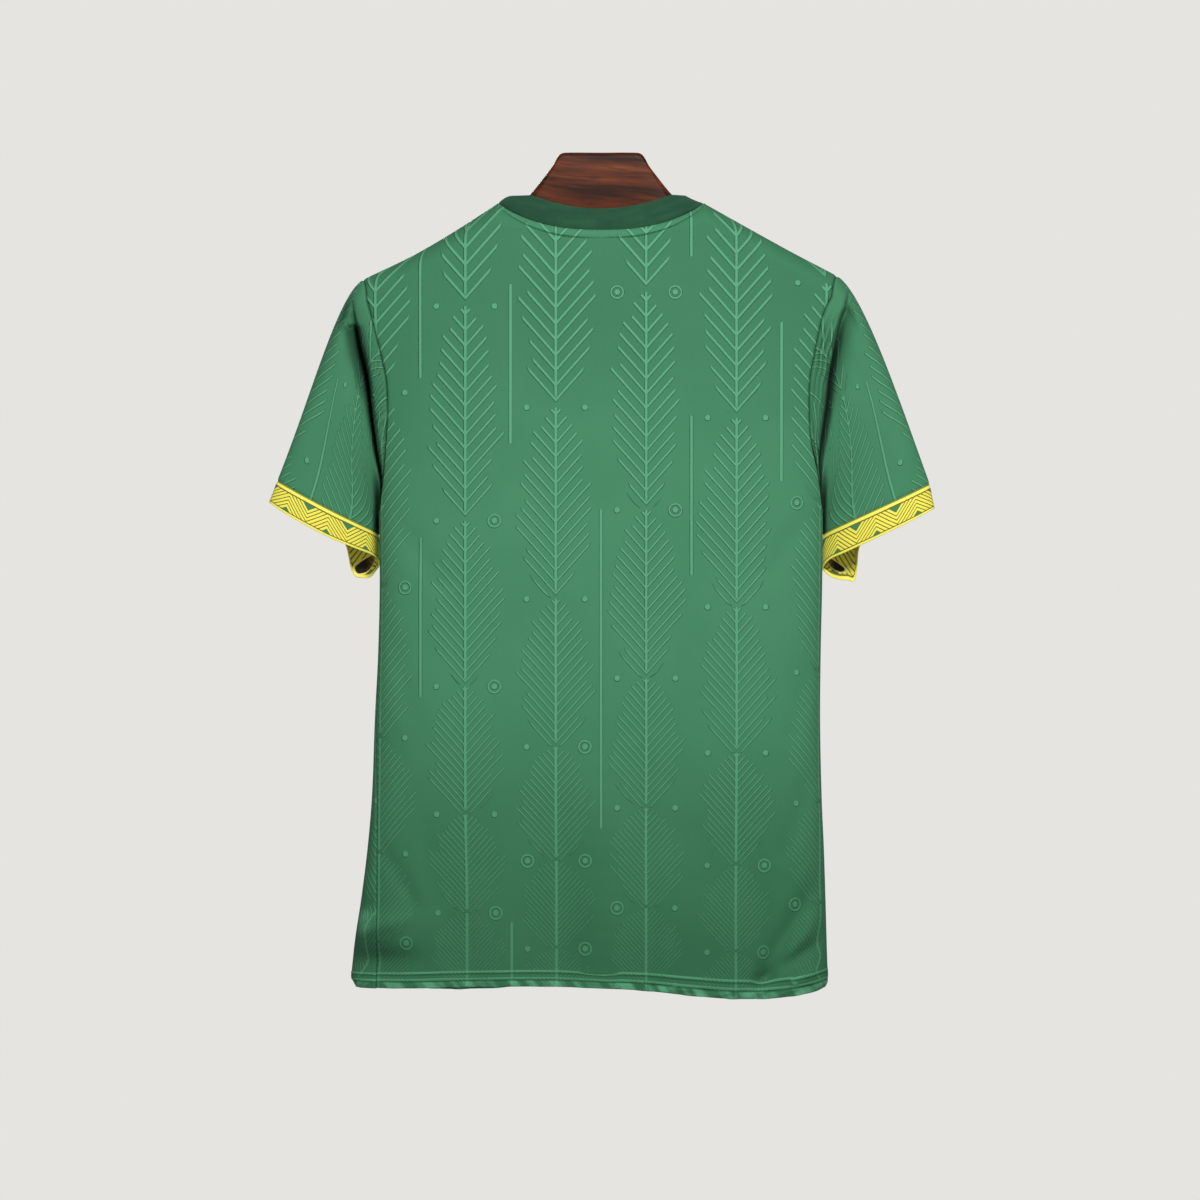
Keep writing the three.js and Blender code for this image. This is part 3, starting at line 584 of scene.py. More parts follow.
def stitch_rows(name, rows, material):
    """Small rounded stitches along lines. rows is a list of (points, normals)."""
    ring = STITCH_SIDES
    angles = np.arange(ring) * 2 * np.pi / ring
    template = [(-0.5, 0.0, 0.0)]
    for at, wide in ((-0.3, 0.85), (0.3, 0.85)):
        template += [(at, wide * np.cos(a), wide * np.sin(a)) for a in angles]
    template = np.array(template + [(0.5, 0.0, 0.0)])
    faces = []
    for k in range(ring):
        n = (k + 1) % ring
        faces += [(0, 1 + n, 1 + k), (1 + k, 1 + n, 1 + ring + n),
                  (1 + k, 1 + ring + n, 1 + ring + k), (1 + 2 * ring, 1 + ring + k, 1 + ring + n)]
    faces = np.array(faces)
    verts, tris, base = [], [], 0
    for points, normals in rows:
        run = measures(points, 0)
        count = int(run[-1] / STITCH_PITCH)
        at = (np.arange(count) + 0.5) * run[-1] / count

        def read(values, shift=0.0):
            return np.stack([np.interp(at + shift, run, values[:, k]) for k in range(3)], 1)

        along = unit(read(points, 0.5) - read(points, -0.5))
        normal = read(normals)
        normal = unit(normal - along * (normal * along).sum(1, keepdims=True))
        place = read(points) + normal * STITCH_RADIUS * 0.2
        shape = (place[:, None]
                 + template[None, :, :1] * STITCH_LONG * along[:, None]
                 + template[None, :, 1:2] * STITCH_RADIUS * normal[:, None]
                 + template[None, :, 2:] * STITCH_RADIUS * np.cross(along, normal)[:, None])
        verts.append(shape.reshape(-1, 3))
        start = base + (np.arange(count) * len(template))[:, None, None]
        tris.append((faces[None] + start).reshape(-1, 3))
        base += count * len(template)
    return add_piece(name, np.concatenate(verts), np.concatenate(tris).tolist(), material)


def line_at(points, normals, distance, wanted):
    """The line across a grid at a set distance along its columns, with its normals."""
    line, away = [], []
    for j in range(points.shape[1]):
        order = np.argsort(distance[:, j])
        d = distance[order, j]
        line.append([np.interp(wanted, d, points[order, j, k]) for k in range(3)])
        away.append([np.interp(wanted, d, normals[order, j, k]) for k in range(3)])
    return np.array(line), np.array(away)


# Materials.

class Field:
    """A value that varies over a surface, as a node gives it. Sums with it add nodes."""

    def __init__(self, shader, socket):
        self.shader, self.socket = shader, socket

    def math(self, how, *others):
        return self.shader.math(how, self, *others)

    __add__ = partialmethod(math, "ADD")
    __sub__ = partialmethod(math, "SUBTRACT")
    __mul__ = partialmethod(math, "MULTIPLY")
    __truediv__ = partialmethod(math, "DIVIDE")
    __abs__ = partialmethod(math, "ABSOLUTE")
    scale = partialmethod(math, "MULTIPLY_ADD")
    most = partialmethod(math, "MAXIMUM")
    floor = partialmethod(math, "FLOOR")
    fract = partialmethod(math, "FRACT")

    def __rsub__(self, other):
        return self.shader.math("SUBTRACT", other, self)

    def wave(self, pitch):
        """A sine wave from 0 to 1."""
        return (self * (2 * math.pi / pitch)).math("SINE").scale(0.5, 0.5)


class Shader:
    """A material with one principled shader, and short calls for the nodes that feed it."""

    def __init__(self, name, rough, specular, sheen=0.0, sheen_rough=0.5):
        self.material = bpy.data.materials.new(name)
        self.material.use_nodes = True
        self.tree = self.material.node_tree
        self.tree.nodes.clear()
        self.main = self.tree.nodes.new("ShaderNodeBsdfPrincipled")
        out = self.tree.nodes.new("ShaderNodeOutputMaterial")
        self.tree.links.new(self.main.outputs["BSDF"], out.inputs["Surface"])
        for key, value in (("Roughness", rough), ("Specular IOR Level", specular),
                           ("Sheen Weight", sheen), ("Sheen Roughness", sheen_rough)):
            self.main.inputs[key].default_value = value

    def node(self, kind, inputs, output, **settings):
        """A new node with its inputs set or linked; gives one of its outputs."""
        node = self.tree.nodes.new("ShaderNode" + kind)
        for key, value in settings.items():
            setattr(node, key, value)
        for key, value in inputs.items():
            self.link(value, node.inputs[key])
        return Field(self, node.outputs[output])

    def link(self, value, socket):
        if isinstance(value, Field):
            self.tree.links.new(value.socket, socket)
        else:
            socket.default_value = value

    def math(self, how, *values):
        return self.node("Math", dict(enumerate(values)), 0, operation=how)

    def step(self, value, start, end, low=0.0, high=1.0):
        """A smooth step from low to high as value goes from start to end."""
        inputs = {"Value": value, "From Min": start, "From Max": end, "To Min": low, "To Max": high}
        return self.node("MapRange", inputs, "Result", interpolation_type="SMOOTHSTEP")

    def band(self, value, centre, half, soft):
        """1 within half of centre, fading to 0 over soft."""
        return self.step(abs(value - centre), half, half + soft, 1.0, 0.0)

    def mix(self, share, a, b):
        node = self.tree.nodes.new("ShaderNodeMix")
        node.data_type = "RGBA"
        self.link(share, node.inputs["Factor"])
        for value, name in ((a, "A"), (b, "B")):
            socket = [s for s in node.inputs if s.name == name and s.type == "RGBA"][0]
            self.link(value if isinstance(value, Field) else (*value, 1), socket)
        return Field(self, [s for s in node.outputs if s.type == "RGBA"][0])

    def coats(self, tone, *coats):
        """Paint over tone, coat by coat: each a share, and a colour in steps of 255."""
        for share, *colour in coats:
            tone = self.mix(share, tone, srgb(*colour))
        return tone

    def split(self, vector):
        node = self.tree.nodes.new("ShaderNodeSeparateXYZ")
        self.link(vector, node.inputs[0])
        return [Field(self, socket) for socket in node.outputs]

    def layer(self, title="cloth"):
        return self.split(self.node("UVMap", {}, "UV", uv_map=title))[:2]

    def vector(self, x, y=0.0, z=0.0):
        return self.node("CombineXYZ", {0: x, 1: y, 2: z}, 0)

    def random(self, x, y=0.0, z=0.0):
        return self.node("TexWhiteNoise", {"Vector": self.vector(x, y, z)}, "Value")

    def noise(self, vector, scale, detail=2.0, rough=0.5, distortion=0.0):
        inputs = {"Vector": vector, "Scale": scale, "Detail": detail, "Roughness": rough,
                  "Distortion": distortion}
        return self.node("TexNoise", inputs, "Fac")

    def relief(self, height, depth, strength=1.0, over=None):
        """Bump from a height of 0 to 1 that stands for depth metres."""
        inputs = {"Distance": depth, "Strength": strength, "Height": height}
        if over is not None:
            inputs["Normal"] = over
        normal = self.node("Bump", inputs, "Normal")
        self.link(normal, self.main.inputs["Normal"])
        return normal

    def done(self, tone):
        self.link(tone, self.main.inputs["Base Color"])
        return self.material


def srgb(r, g, b):
    return tuple(((c / 255 + 0.055) / 1.055) ** 2.4 for c in (r, g, b))


BACKDROP = (*srgb(229, 228, 224), 1)
FLOOR_GLOW = 0.46
LEAF_W = 84.0  # width of one leaf's column in the raised pattern
LEAF_BARBS = 15.0  # ribs along one leaf
LEAF_FOOT = 62.0  # height of one leaf at the hem
LEAF_GROWTH = 0.26  # how much taller it is for each millimetre further up
HEM_ROWS = (14.2, 7.8)  # the hem's stitching above the edge
NECK_ROW = 8.4  # the neck's stitching outside the collar's seam


def knit_relief(u, v, pitch=1.1):
    """Fine columns of knitted loops: a height from 0 to 1."""
    shift = (u * (4 * math.pi / pitch)).math("SINE") * 0.25
    course = (v / (pitch * 0.8) + shift).wave(1.0)
    return u.wave(pitch) * course.scale(0.6, 0.4)


def leaf_relief(sh, u, v):
    """Tall feathered leaves in half-drop columns, smaller towards the hem: a height from 0 to 1."""
    tall = v.scale(LEAF_GROWTH, LEAF_FOOT)
    column = (u / LEAF_W).floor()
    drop = abs(column).math("MODULO", 2.0) * 0.5 + sh.random(column, 3.7) * 0.16
    phase = tall.math("LOGARITHM", math.e) / LEAF_GROWTH + drop
    x, y = ((u / LEAF_W).fract() - 0.5) * LEAF_W, phase.fract()
    away, hand = abs(x), x.math("SIGN")
    rib = (y - away * 1.15 / tall) * LEAF_BARBS
    long = sh.random(hand.scale(17.3, rib.floor()), column, phase.floor()).scale(0.32, 0.7)
    body = (y * math.pi).math("SINE").most(0.0).math("POWER", 0.55)
    ends = sh.step(body * long * (0.45 * LEAF_W) - away, -0.6, 1.2)
    ribs = sh.step(abs(rib.fract() - 0.5), 0.09, 0.19, 1.0, 0.0) * ends
    stem = sh.step(away, 0.9, 2.0, 1.0, 0.0) * sh.step(y, 0.03, 0.06)
    # Bars between some columns, and a ring with a dot on either side of each leaf's tip.
    border = ((u + LEAF_W / 2) / LEAF_W).floor()
    part = (border.scale(61.0, v) / 148.0).floor()
    bars = sh.band(away, LEAF_W / 2, 1.1, 0.7) * sh.step(sh.random(border, part, 8.0), 0.6, 0.61)
    tip, aside = ((y + 0.5).fract() - 0.5) * tall, away - 27.0
    round = (tip * tip + aside * aside).math("POWER", 0.5)
    ring = sh.random(hand.scale(5.1, (phase + 0.5).floor()), column, 2.0)
    seeds = sh.band(round, 5.6, 0.6, 0.7) * sh.step(ring, 0.6, 0.61)
    return ribs.most(stem).most(bars.most(seeds.most(sh.band(round, 0.0, 2.4, 0.8))))


def jersey_material():
    sh = Shader("jersey_knit", rough=0.72, specular=0.1, sheen=0.02, sheen_rough=0.4)
    u, v = sh.layer()
    neck, hem = sh.layer("marks")
    shade, light = sh.layer("shade")
    raised = leaf_relief(sh, u, v) * sh.step(v, -40.0, 330.0, 0.42, 1.0)
    knit = knit_relief(u, v)
    cloud = sh.noise(sh.vector(u * 0.001, v * 0.001), 9.0, 3.0, 0.55)
    slub = sh.noise(sh.vector(u * 0.45, v * 1.5), 1.0, 2.0, 0.6)
    ground = sh.mix(sh.step(cloud, 0.3, 0.7), srgb(63, 122, 89), srgb(71, 131, 97))
    # Painted shade: the cloth is darker towards the hem, where less light falls.
    low = sh.mix(sh.step(v, 0.0, 320.0), srgb(24, 77, 46), srgb(66, 130, 94))
    # Painted shade over the yoke, then the pattern, the knit, a painted highlight on the raised
    # turned-in edge beside the collar, and painted shade in the groove of its stitching.
    tone = sh.coats(sh.mix(0.5, ground, low),
                    (sh.step(v, 440.0, 640.0, 0.0, 0.4), 46, 98, 69),
                    (raised * 0.9, 88, 157, 119),
                    (knit * 0.10, 36, 88, 60),
                    (sh.step(slub, 0.3, 0.7, 0.0, 0.12), 36, 86, 60),
                    (sh.step(neck, 7.2, 7.8, 0.16, 0.0), 90, 160, 124),
                    (sh.band(neck, NECK_ROW, 0.45, 0.5) * 0.75, 16, 62, 38))
    # The hem's rows of stitching: a painted highlight along each row, and painted shade in the dip
    # under each.
    for row in HEM_ROWS:
        tone = sh.coats(tone, (sh.band(hem, row - 2.0, 0.4, 0.9) * 0.4, 14, 60, 36),
                        (sh.band(hem, row, 0.7, 0.5) * 0.7, 92, 164, 122))
    # The strip below the hem's stitching is lighter in patches.
    patch = sh.noise(sh.vector(u.scale(0.06, hem * 0.05), 0.0), 1.0, 1.0)
    patch = sh.step(patch, 0.42, 0.6) * sh.step(hem, 4.5, 6.5, 0.62, 0.0)
    # The lighter patches with the painted highlight from the shade layer, then that layer's painted
    # shade.
    tone = sh.coats(tone, (patch.most(light), 98, 172, 132), (shade, 6, 26, 16))
    sh.relief(knit, 0.00016, 0.55, sh.relief(raised, 0.0012))
    return sh.done(tone)


def collar_material():
    sh = Shader("collar_rib", rough=0.85, specular=0.18, sheen=0.06, sheen_rough=0.6)
    u, v = sh.layer()
    knit = u.wave(1.7) * v.wave(1.1).scale(0.4, 0.6)
    cloud = sh.noise(sh.vector(u * 0.001, v * 0.004), 26.0, 3.0, 0.6)
    ground = sh.mix(sh.step(cloud, 0.3, 0.75), srgb(25, 67, 45), srgb(36, 80, 56))
    sh.relief(knit, 0.0003, 0.7)
    return sh.done(sh.coats(ground, (knit * 0.25, 20, 53, 37)))


CUFF_REPEAT = 42.0
CUFF_RIB = 4.3
CUFF_SLOPE = 1.35  # how steep the triangles' sides are
# Mouth of the rolled end: the angle at its middle and half its width, how far its middle lies above
# the edge and half its height, and its slant.
CUFF_MOUTH = {"left": (218.0, 22.0, 6.6, 3.7, -0.2), "right": (217.0, 17.0, 6.2, 2.5, -0.1)}
# How far the roll's lower corners are cut back: outward, and up at its outer and its inner corner.
CUFF_CUT = {"left": (4.6, 3.0, 4.5), "right": (0.0, 0.0, 1.5)}


def cuff_material():
    """A band of nested triangles in yellow, olive and green between two yellow borders."""
    sh = Shader("cuff_knit", rough=0.68, specular=0.3, sheen=0.1, sheen_rough=0.5)
    u, v = sh.layer()
    at = u / CUFF_REPEAT
    from_low = abs(at.fract() - 0.5).scale(CUFF_REPEAT, v * CUFF_SLOPE)
    from_top = abs((at + 0.5).fract() - 0.5).scale(CUFF_REPEAT, (16.6 - v) * CUFF_SLOPE)
    near = from_low.math("MINIMUM", from_top)
    gap = sh.step(abs((near / CUFF_RIB).fract() - 0.5), 0.08, 0.19, 1.0, 0.0)
    eye = sh.step(near, 6.3, 7.1, 1.0, 0.0)
    border = sh.step(v, 17.2, 17.6).most(sh.step(v, 1.0, 1.4, 1.0, 0.0))
    rim = sh.band(v, 16.8, 0.3, 0.4).most(sh.band(v, 1.7, 0.2, 0.4))
    # The rolled end's mouth, a shallow dimple in the band: painted shade inside, graded from dark brown
    # to olive across it, with a plain yellow rim.
    mouth, inward = sh.layer("marks")
    tone = sh.coats(sh.mix(gap, srgb(236, 226, 84), srgb(96, 90, 18)),
                    (eye, 58, 122, 80),
                    (rim, 104, 98, 18),
                    (border, 240, 232, 96),
                    # Painted shade along the seam with the sleeve.
                    (sh.step(v, 19.4, 20.2), 120, 122, 30),
                    (sh.step(mouth, 0.46, 0.50), 246, 234, 122))
    mouth_shade = sh.mix(inward * -1.0, srgb(34, 22, 10), srgb(150, 128, 44))
    mouth_shade = sh.coats(mouth_shade, (gap * 0.7, 34, 22, 10))
    tone = sh.mix(sh.step(mouth, 0.58, 0.66), tone, mouth_shade)
    raised = (1.0 - gap.most(eye)).most(border)
    sh.relief(knit_relief(u, v, 1.0), 0.00012, 0.5, sh.relief(raised, 0.0003, 0.7))
    # Painted shade on the outer face where the cuff lies against the body.
    return sh.done(sh.coats(tone, (inward, 14, 14, 6)))


def wood_material():
    sh = Shader("stained_wood", rough=0.5, specular=0.12)
    x, y, z = sh.split(sh.node("TexCoord", {}, "Object"))
    lift = x.scale(-0.14, z) + (x * 38.0).math("SINE") * 0.003
    grain = sh.noise(sh.vector(x * 7.0, y * 60.0, lift * 90.0), 1.0, 4.0, 0.6, 0.4)
    fine = sh.noise(sh.vector(x * 40.0, y * 400.0, lift * 500.0), 1.0, 2.0, 0.6)
    ground = sh.mix(sh.step(grain, 0.34, 0.62), srgb(41, 17, 9), srgb(86, 40, 18))
    sh.relief(fine, 0.00012, 0.5)
    return sh.done(sh.coats(ground, (sh.step(grain, 0.58, 0.76), 120, 64, 32),
                            (sh.step(fine, 0.5, 0.72) * 0.5, 33, 15, 9)))


def thread_material():
    return Shader("thread", rough=0.6, specular=0.35).done((*srgb(76, 142, 104), 1))


def floor_material():
    """Matt, and to the eye about as pale as the backdrop."""
    sh = Shader("pale_floor", rough=0.9, specular=0.2)
    sh.link(BACKDROP, sh.main.inputs["Emission Color"])
    seen = sh.node("LightPath", {}, "Is Camera Ray")
    sh.link(seen * FLOOR_GLOW, sh.main.inputs["Emission Strength"])
    return sh.done(BACKDROP)


# Cloth pieces.

BODY_LONG = BASE_Z - HEM_Z
CLOTH_WALL = 0.8
CUFF_WALL = 1.2
RIB_WALL = 2.0
CUFF_BAND = 21.0
COLLAR_BAND = 20.0
BAND_DIP = {"cuff_knit": (0.7, 1.1), "collar_rib": (0.8, 1.2)}  # depth and width at the seam
UNMARKED = 99.0  # further than any seam's marks reach
PATTERN_ACROSS, PATTERN_UP = 40.0, 330.0  # where a sleeve lies on the pattern


def seam_dip(points, normals, distance, depth=1.1, width=1.5):
    """Cloth that turns in along a seam."""
    return points - normals * (depth * bump(distance, width))[..., None]


def make_panel(side, material, thread):
    name = "back_panel" if side > 0 else "front_panel"
    rows = runs((0, 22.5 / BODY_LONG, 26), (22.5 / BODY_LONG, UNDERARM_V, 112),
                (UNDERARM_V, UNDERARM_V + 0.014, 12), (UNDERARM_V + 0.014, 0.965, 54),
                (0.965, 1, 26), (1, 1.88, 20), (1.88, 2, 9))
    columns = clustered(161, 0.012, 0.0015)
    s, v = np.meshgrid(columns, rows)
    points = panel_xyz(side, s, v)
    normals = grid_normals(points, side)
    x, z = points[..., 0], points[..., 2]
    across, up = measures(points, 1), measures(points, 0)
    level = measures(points * np.array([1.0, 1.0, 0.0]), 1)
    centre = np.array([np.interp(0.0, -row, run) for row, run in zip(x, level)])
    uv = np.stack([level - centre[:, None], z - HEM_Z], -1)
    edge = np.minimum(across, across[:, -1:] - across)
    top = up[-1:] - up
    # The turned-up hem stands out a little, dips under each of its two rows of stitching, and ripples
    # below. It is a little wider towards the wearer's right.
    hem = up * (1 - 0.16 * ease(-x, -120, 120))
    layer = 0.4 * (1 - ease(hem, HEM_ROWS[0] - 0.4, HEM_ROWS[0] + 1.2))
    flank = 1 - bump(np.abs(x) - 224, 16)
    drawn = sum(0.9 * bump(hem - row + 1.9, 1.1) for row in HEM_ROWS) * ease(edge, 0, 9) * flank
    right = 0.35 + 0.65 * ease(-side * x, -60, 60)
    low = (1 - ease(hem, 4.5, 7.0)) * ease(hem, -1, 2) * flank
    ripple = low * right * (1.4 * np.sin((x + 1.9 * up) / 5.6 + 1.2 * np.sin(x / 23))
                            + 0.4 * np.sin((x - 0.8 * up) / 3.1))
    points = points + normals * (layer - drawn + ripple)[..., None]
    # Its corners are rounded.
    for hand, reach, cut in ((1, 233.5, 6.0), (-1, 211.5, 3.0)):
        near = ease(hand * points[..., 0], reach - 12, reach)
        points[..., 0] -= hand * cut * near * np.clip(1 - up / 13, 0, 1) ** 2
    # Its seams turn in, except right at the underarm, where four pieces meet.
    points = seam_dip(points, normals, edge, 1.1 * (1 - bump(points[..., 2] - UNDERARM_Z, 9)))
    neck = (columns > NECK_SHARE) & (columns < 1 - NECK_SHARE)
    groove = 0.8 * bump(top - NECK_ROW, 0.8) - 0.35 * ease(top, 8.0, 7.0)
    points = points - normals * (groove * neck[None, :])[..., None]
    from_neck = np.where(neck[None, :], top, UNMARKED)
    points = seam_dip(points, normals, from_neck, 0.9, 1.4)
    # Painted shade along the side and armhole seams, stronger along the armholes, and on the lower left
    # corner, which is turned under; a painted highlight on the fold above it.
    x, y, z = points[..., 0], points[..., 1], points[..., 2]
    behind = ease(y, -4, 10)
    turned = ((x - 212) / 30) ** 2 + ((z + 741 - 0.3 * (x - 210)) / 16) ** 2
    lit = ((x - 220) / 7) ** 2 + ((z + 716 + 0.5 * (x - 220)) / 14) ** 2
    shade = np.where(z > UNDERARM_Z, 0.55, 0.1) * bump(edge, 0.8)
    shade = shade + 0.34 * np.exp(-turned ** 1.5) * behind
    light = 0.5 * np.exp(-lit ** 1.5) * behind * (0.75 + 0.25 * np.sin(z / 2.1 + x / 5))
    layers = {"cloth": uv, "marks": np.stack([from_neck, hem], -1),
              "shade": np.stack([shade, light], -1)}
    obj = add_sheet(name + "_cloth", points, layers, side, material,
                    thickness=CLOTH_WALL)
    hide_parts(name)
    lines = [line_at(points, normals, hem, row) for row in HEM_ROWS]
    lines.append(line_at(points[:, neck], normals[:, neck], top[:, neck], NECK_ROW))
    return obj, stitch_rows(name + "_stitches", lines, thread)


def make_sleeve(name, material):
    hand = SLEEVES[name]["hand"]
    # From the underarm seam up the front, over the shoulder (0) and down the back to the seam.
    turns = runs((-0.5, -0.46, 21), (-0.46, 0, 74), (0, 0.16, 26), (0.16, 0.46, 132),
                 (0.46, 0.5, 21))
    shoulder = int(np.argmin(np.abs(turns)))
    shares = runs((0, 0.02, 6), (0.02, 0.3, 66), (0.3, 0.98, 52), (0.98, 1, 6))
    turn, t = np.meshgrid(turns % 1.0, shares)
    points, plain = sleeve_xyz(name, turn, t), sleeve_xyz(name, turn, t, folded=False)
    for grid in (points, plain):
        grid[:, -1] = grid[:, 0]
    normals = grid_normals(points, -hand, closed=True)
    along, around = measures(plain, 0), measures(plain, 1)
    left = along[-1:] - along
    from_shoulder = around - around[:, shoulder:shoulder + 1]
    uv = np.stack([from_shoulder - PATTERN_ACROSS, left + PATTERN_UP], -1)
    # Between the armhole and the fold the cloth is drawn into small gathers: slanting ones on the left,
    # long ones along the seam on the right.
    side, way = half_turn(turn)
    place = fold_place(way)
    between = ease(t / place, 0.02, 0.2) * (1 - ease(t / place, 0.7, 0.98))
    between = between * ease(way, 0.3, 0.45) * (1 - ease(way, 0.82, 0.95))
    down = 230.0 * way
    wander = 2.0 * np.sin(way * 31) + 1.1 * np.sin(way * 67 + 1)
    if name == "left":
        slant = along * lerp(1.1, 0.2, ease(way, 0.4, 0.75))
        wave = 0.8 * np.sin(2 * np.pi * (down - slant + wander) / 5.2)
        wave = wave * (0.65 + 0.35 * np.sin(way * 23))
    else:
        wave = 0.9 * np.sin(2 * np.pi * (along + 0.5 * wander + 0.05 * down) / 5.6)
        wave = wave * (0.7 + 0.3 * np.sin(way * 17))
    points = points + normals * (between * wave)[..., None]
    points = seam_dip(points, normals, along, 1.0 * (1 - ease(way, 0.86, 0.97)), 1.4)
    points = seam_dip(points, normals, left, 0.7, 1.2)
    # Painted shade in the fold's crevice, along the armhole and underarm seams, and in the troughs of
    # the gathers.
    off = (t - place) * 150.0
    sharp = np.where(side > 0, crevice_back(way), crevice_front(way))
    deep = ease(sharp, 2, 13) * bump(off, np.where(off < 0, 2.2, 4.5))
    shade = 0.92 * deep + 0.55 * bump(along, 0.8) + 0.45 * between * (0.5 - 0.5 * wave)
    shade = shade + 0.4 * bump(np.minimum(around, around[:, -1:] - around), 0.8)
    # Painted shade in the hollow beside the fold, under the left shoulder's tuck and along its outer
    # edge, and where the sleeve lies against the body.
    x, z = hand * points[..., 0], points[..., 2]
    broad = np.where(side > 0, hollow_back(way), hollow_front(way)) / 13
    hollow = (0.75 if hand > 0 else 0.45) * broad * bump(off - 7, np.where(off < 7, 5, 9))
    if hand > 0:
        behind = np.where(side > 0, ease(way, 0.03, 0.15), 0)
        wide = lerp(9.4, 4.8, ease(-z, 175, 245))
        pool = bump(x - 227.5 - 0.19 * (z + 177), wide, 4) * (1 - ease(-z, 205, 265))
        hollow = np.maximum(hollow * (1 - 0.6 * ease(-z, 200, 250)), 0.66 * behind * pool)
        hollow = hollow * ease(-z - 0.3 * (x - 228), 160, 164)
        hollow = hollow + 0.3 * behind * bump(x - 229, 8) * bump(z + 148, 12)
        crest = bump(x - 239 - 0.3 * (-z - 150), 3.2) * bump(z + 147, 15, 4)
        hollow = hollow + 0.5 * behind * crest
    inward = ease(x, 214 if hand > 0 else 212, 208.5) * ease(-z, 285, 325)
    shade = np.clip(shade + hollow + 0.9 * inward, 0, 0.92)
    # Seam allowances, tucked in under the body's edge and under the cuff.
    under_body = points[:1] + 2.4 * unit(plain[:1] - plain[2:3]) - 1.3 * normals[:1]
    under_cuff = points[-1:] + 2.0 * unit(plain[-1:] - plain[-3:-2]) - 1.4 * normals[-1:]
    points = np.concatenate([under_body, points, under_cuff])
    uv, shade = (np.concatenate([values[:1], values, values[-1:]]) for values in (uv, shade))
    layers = {"cloth": uv, "marks": np.full_like(uv, UNMARKED),
              "shade": np.stack([shade, 0 * shade], -1)}
    obj = add_sheet(name + "_sleeve_cloth", points[:, :-1], layers, -hand, material,
                    closed=True, thickness=CLOTH_WALL)
    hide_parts(name + "_sleeve")
    return obj


def folded_band(node, points, wall, length, material, slot, sign, inner_mark=None):
    """A doubled band that stands for a node: its outer face, a rounded free edge and its inner face.
    Rows run from the seam to the free edge; the last column repeats the first. inner_mark is the rolled
    end's mouth, where painted shade is drawn inside; with it, the outer face also gets painted shade
    where it lies against the body."""
    normals = grid_normals(points, sign, closed=True)
    points = seam_dip(points, normals, measures(points, 0), *BAND_DIP[slot])
    half, count = wall / 2, len(points)
    onward = unit(points[-1] - points[-2])
    edge = [points[-1] + onward * half * math.sin(angle) - normals[-1] * half * (1 - math.cos(angle))
            for angle in np.radians((30, 60, 90, 120, 150))]
    grid = np.concatenate([points, edge, (points - normals * wall)[::-1]])
    marks = length * (1 - np.arange(count) / (count - 1))
    marks = np.concatenate([marks, np.zeros(len(edge)), marks[::-1]])
    around = measures(points, 1)[count // 2]
    shape = grid.shape[:2]
    layers = {"cloth": np.stack(np.broadcast_arrays(around, marks[:, None]), -1)}
    if inner_mark is not None:
        mark, inward = np.zeros(shape), np.zeros(shape)
        mark[-count:] = inner_mark[0][::-1]
        inward[-count:] = -ease(inner_mark[1][::-1], 0.3, -0.8)
        # Painted shade on the outer face where it lies against the body.
        inward[:count] = ease(np.abs(points[..., 0]), 211.0, 207.5) * ease(points[..., 1], -6, 2)
        layers["marks"] = np.stack([mark, inward], -1)
    obj = add_sheet(node + "_cloth", grid[:, :-1], layers, sign, material, closed=True)
    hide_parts(node)
    return obj


def make_cuff(name, material):
    hand = SLEEVES[name]["hand"]
    turns = runs((0, 0.55, 121), (0.55, 0.72, 97), (0.72, 1, 61))
    turn, t = np.meshgrid(turns, np.linspace(0, 1, 21))
    points = cuff_xyz(name, turn % 1.0, t)
    points[:, -1] = points[:, 0]
    # The rolled end: a hollow mouth, whose lip curls towards the back.
    degrees = 360 * turn
    middle, wide, above, tall, slant = CUFF_MOUTH[name]
    across = (degrees - middle) / wide
    off = ((1 - t) * 20.0 - above - 20 * slant * across) / tall
    mouth = np.exp(-0.5 * (across ** 2 + off ** 2) ** 1.2)
    lip = bump(across, 1.3) * ease(t, 0.86, 1)
    outward, outer_rise, inner_rise = CUFF_CUT[name]
    low = ease(t, 0.3, 1)
    outer, inner = low * bump(degrees - 244, 9), low * bump(degrees - 197, 13)
    points[..., 0] -= hand * outward * outer
    points[..., 2] += outer_rise * outer + inner_rise * inner
    points[..., 1] += 4.5 * lip - 5.0 * mouth
    return folded_band(name + "_cuff", points, CUFF_WALL, CUFF_BAND, material, "cuff_knit", -hand,
                       (mouth, across))


def make_collar(material):
    turn, t = np.meshgrid(np.linspace(0, 1, 281), np.linspace(0, 1, 15))
    points = collar_xyz(turn % 1.0, t)
    points[:, -1] = points[:, 0]
    return folded_band("collar", points, RIB_WALL, COLLAR_BAND, material, "collar_rib", 1)


# Hanger.

HANGER = table("""
x top half low arm
0 0 12.5 -64 0
33 0 12.5 -66 0
37.5 -1.2 12.5 -66.5 0
40.5 -4.5 12.5 -67 0
44.6 -12 12.5 -68 0
50.2 -19.5 12.5 -69 0.1
56 -27 12.5 -71 0.25
63 -35.6 12.5 -74 0.5
68.5 -41.4 12.5 -77 0.75
74 -46.5 12.5 -81 1
84 -49.6 12.5 -87 1
93 -51.4 16 -92 1
98 -49.7 24.2 -92.5 1
""")
HANGER_INSET = 2.2
HANGER_END = 213.0
HANGER_ARM = 95.0  # from here outward the arm follows the shoulders


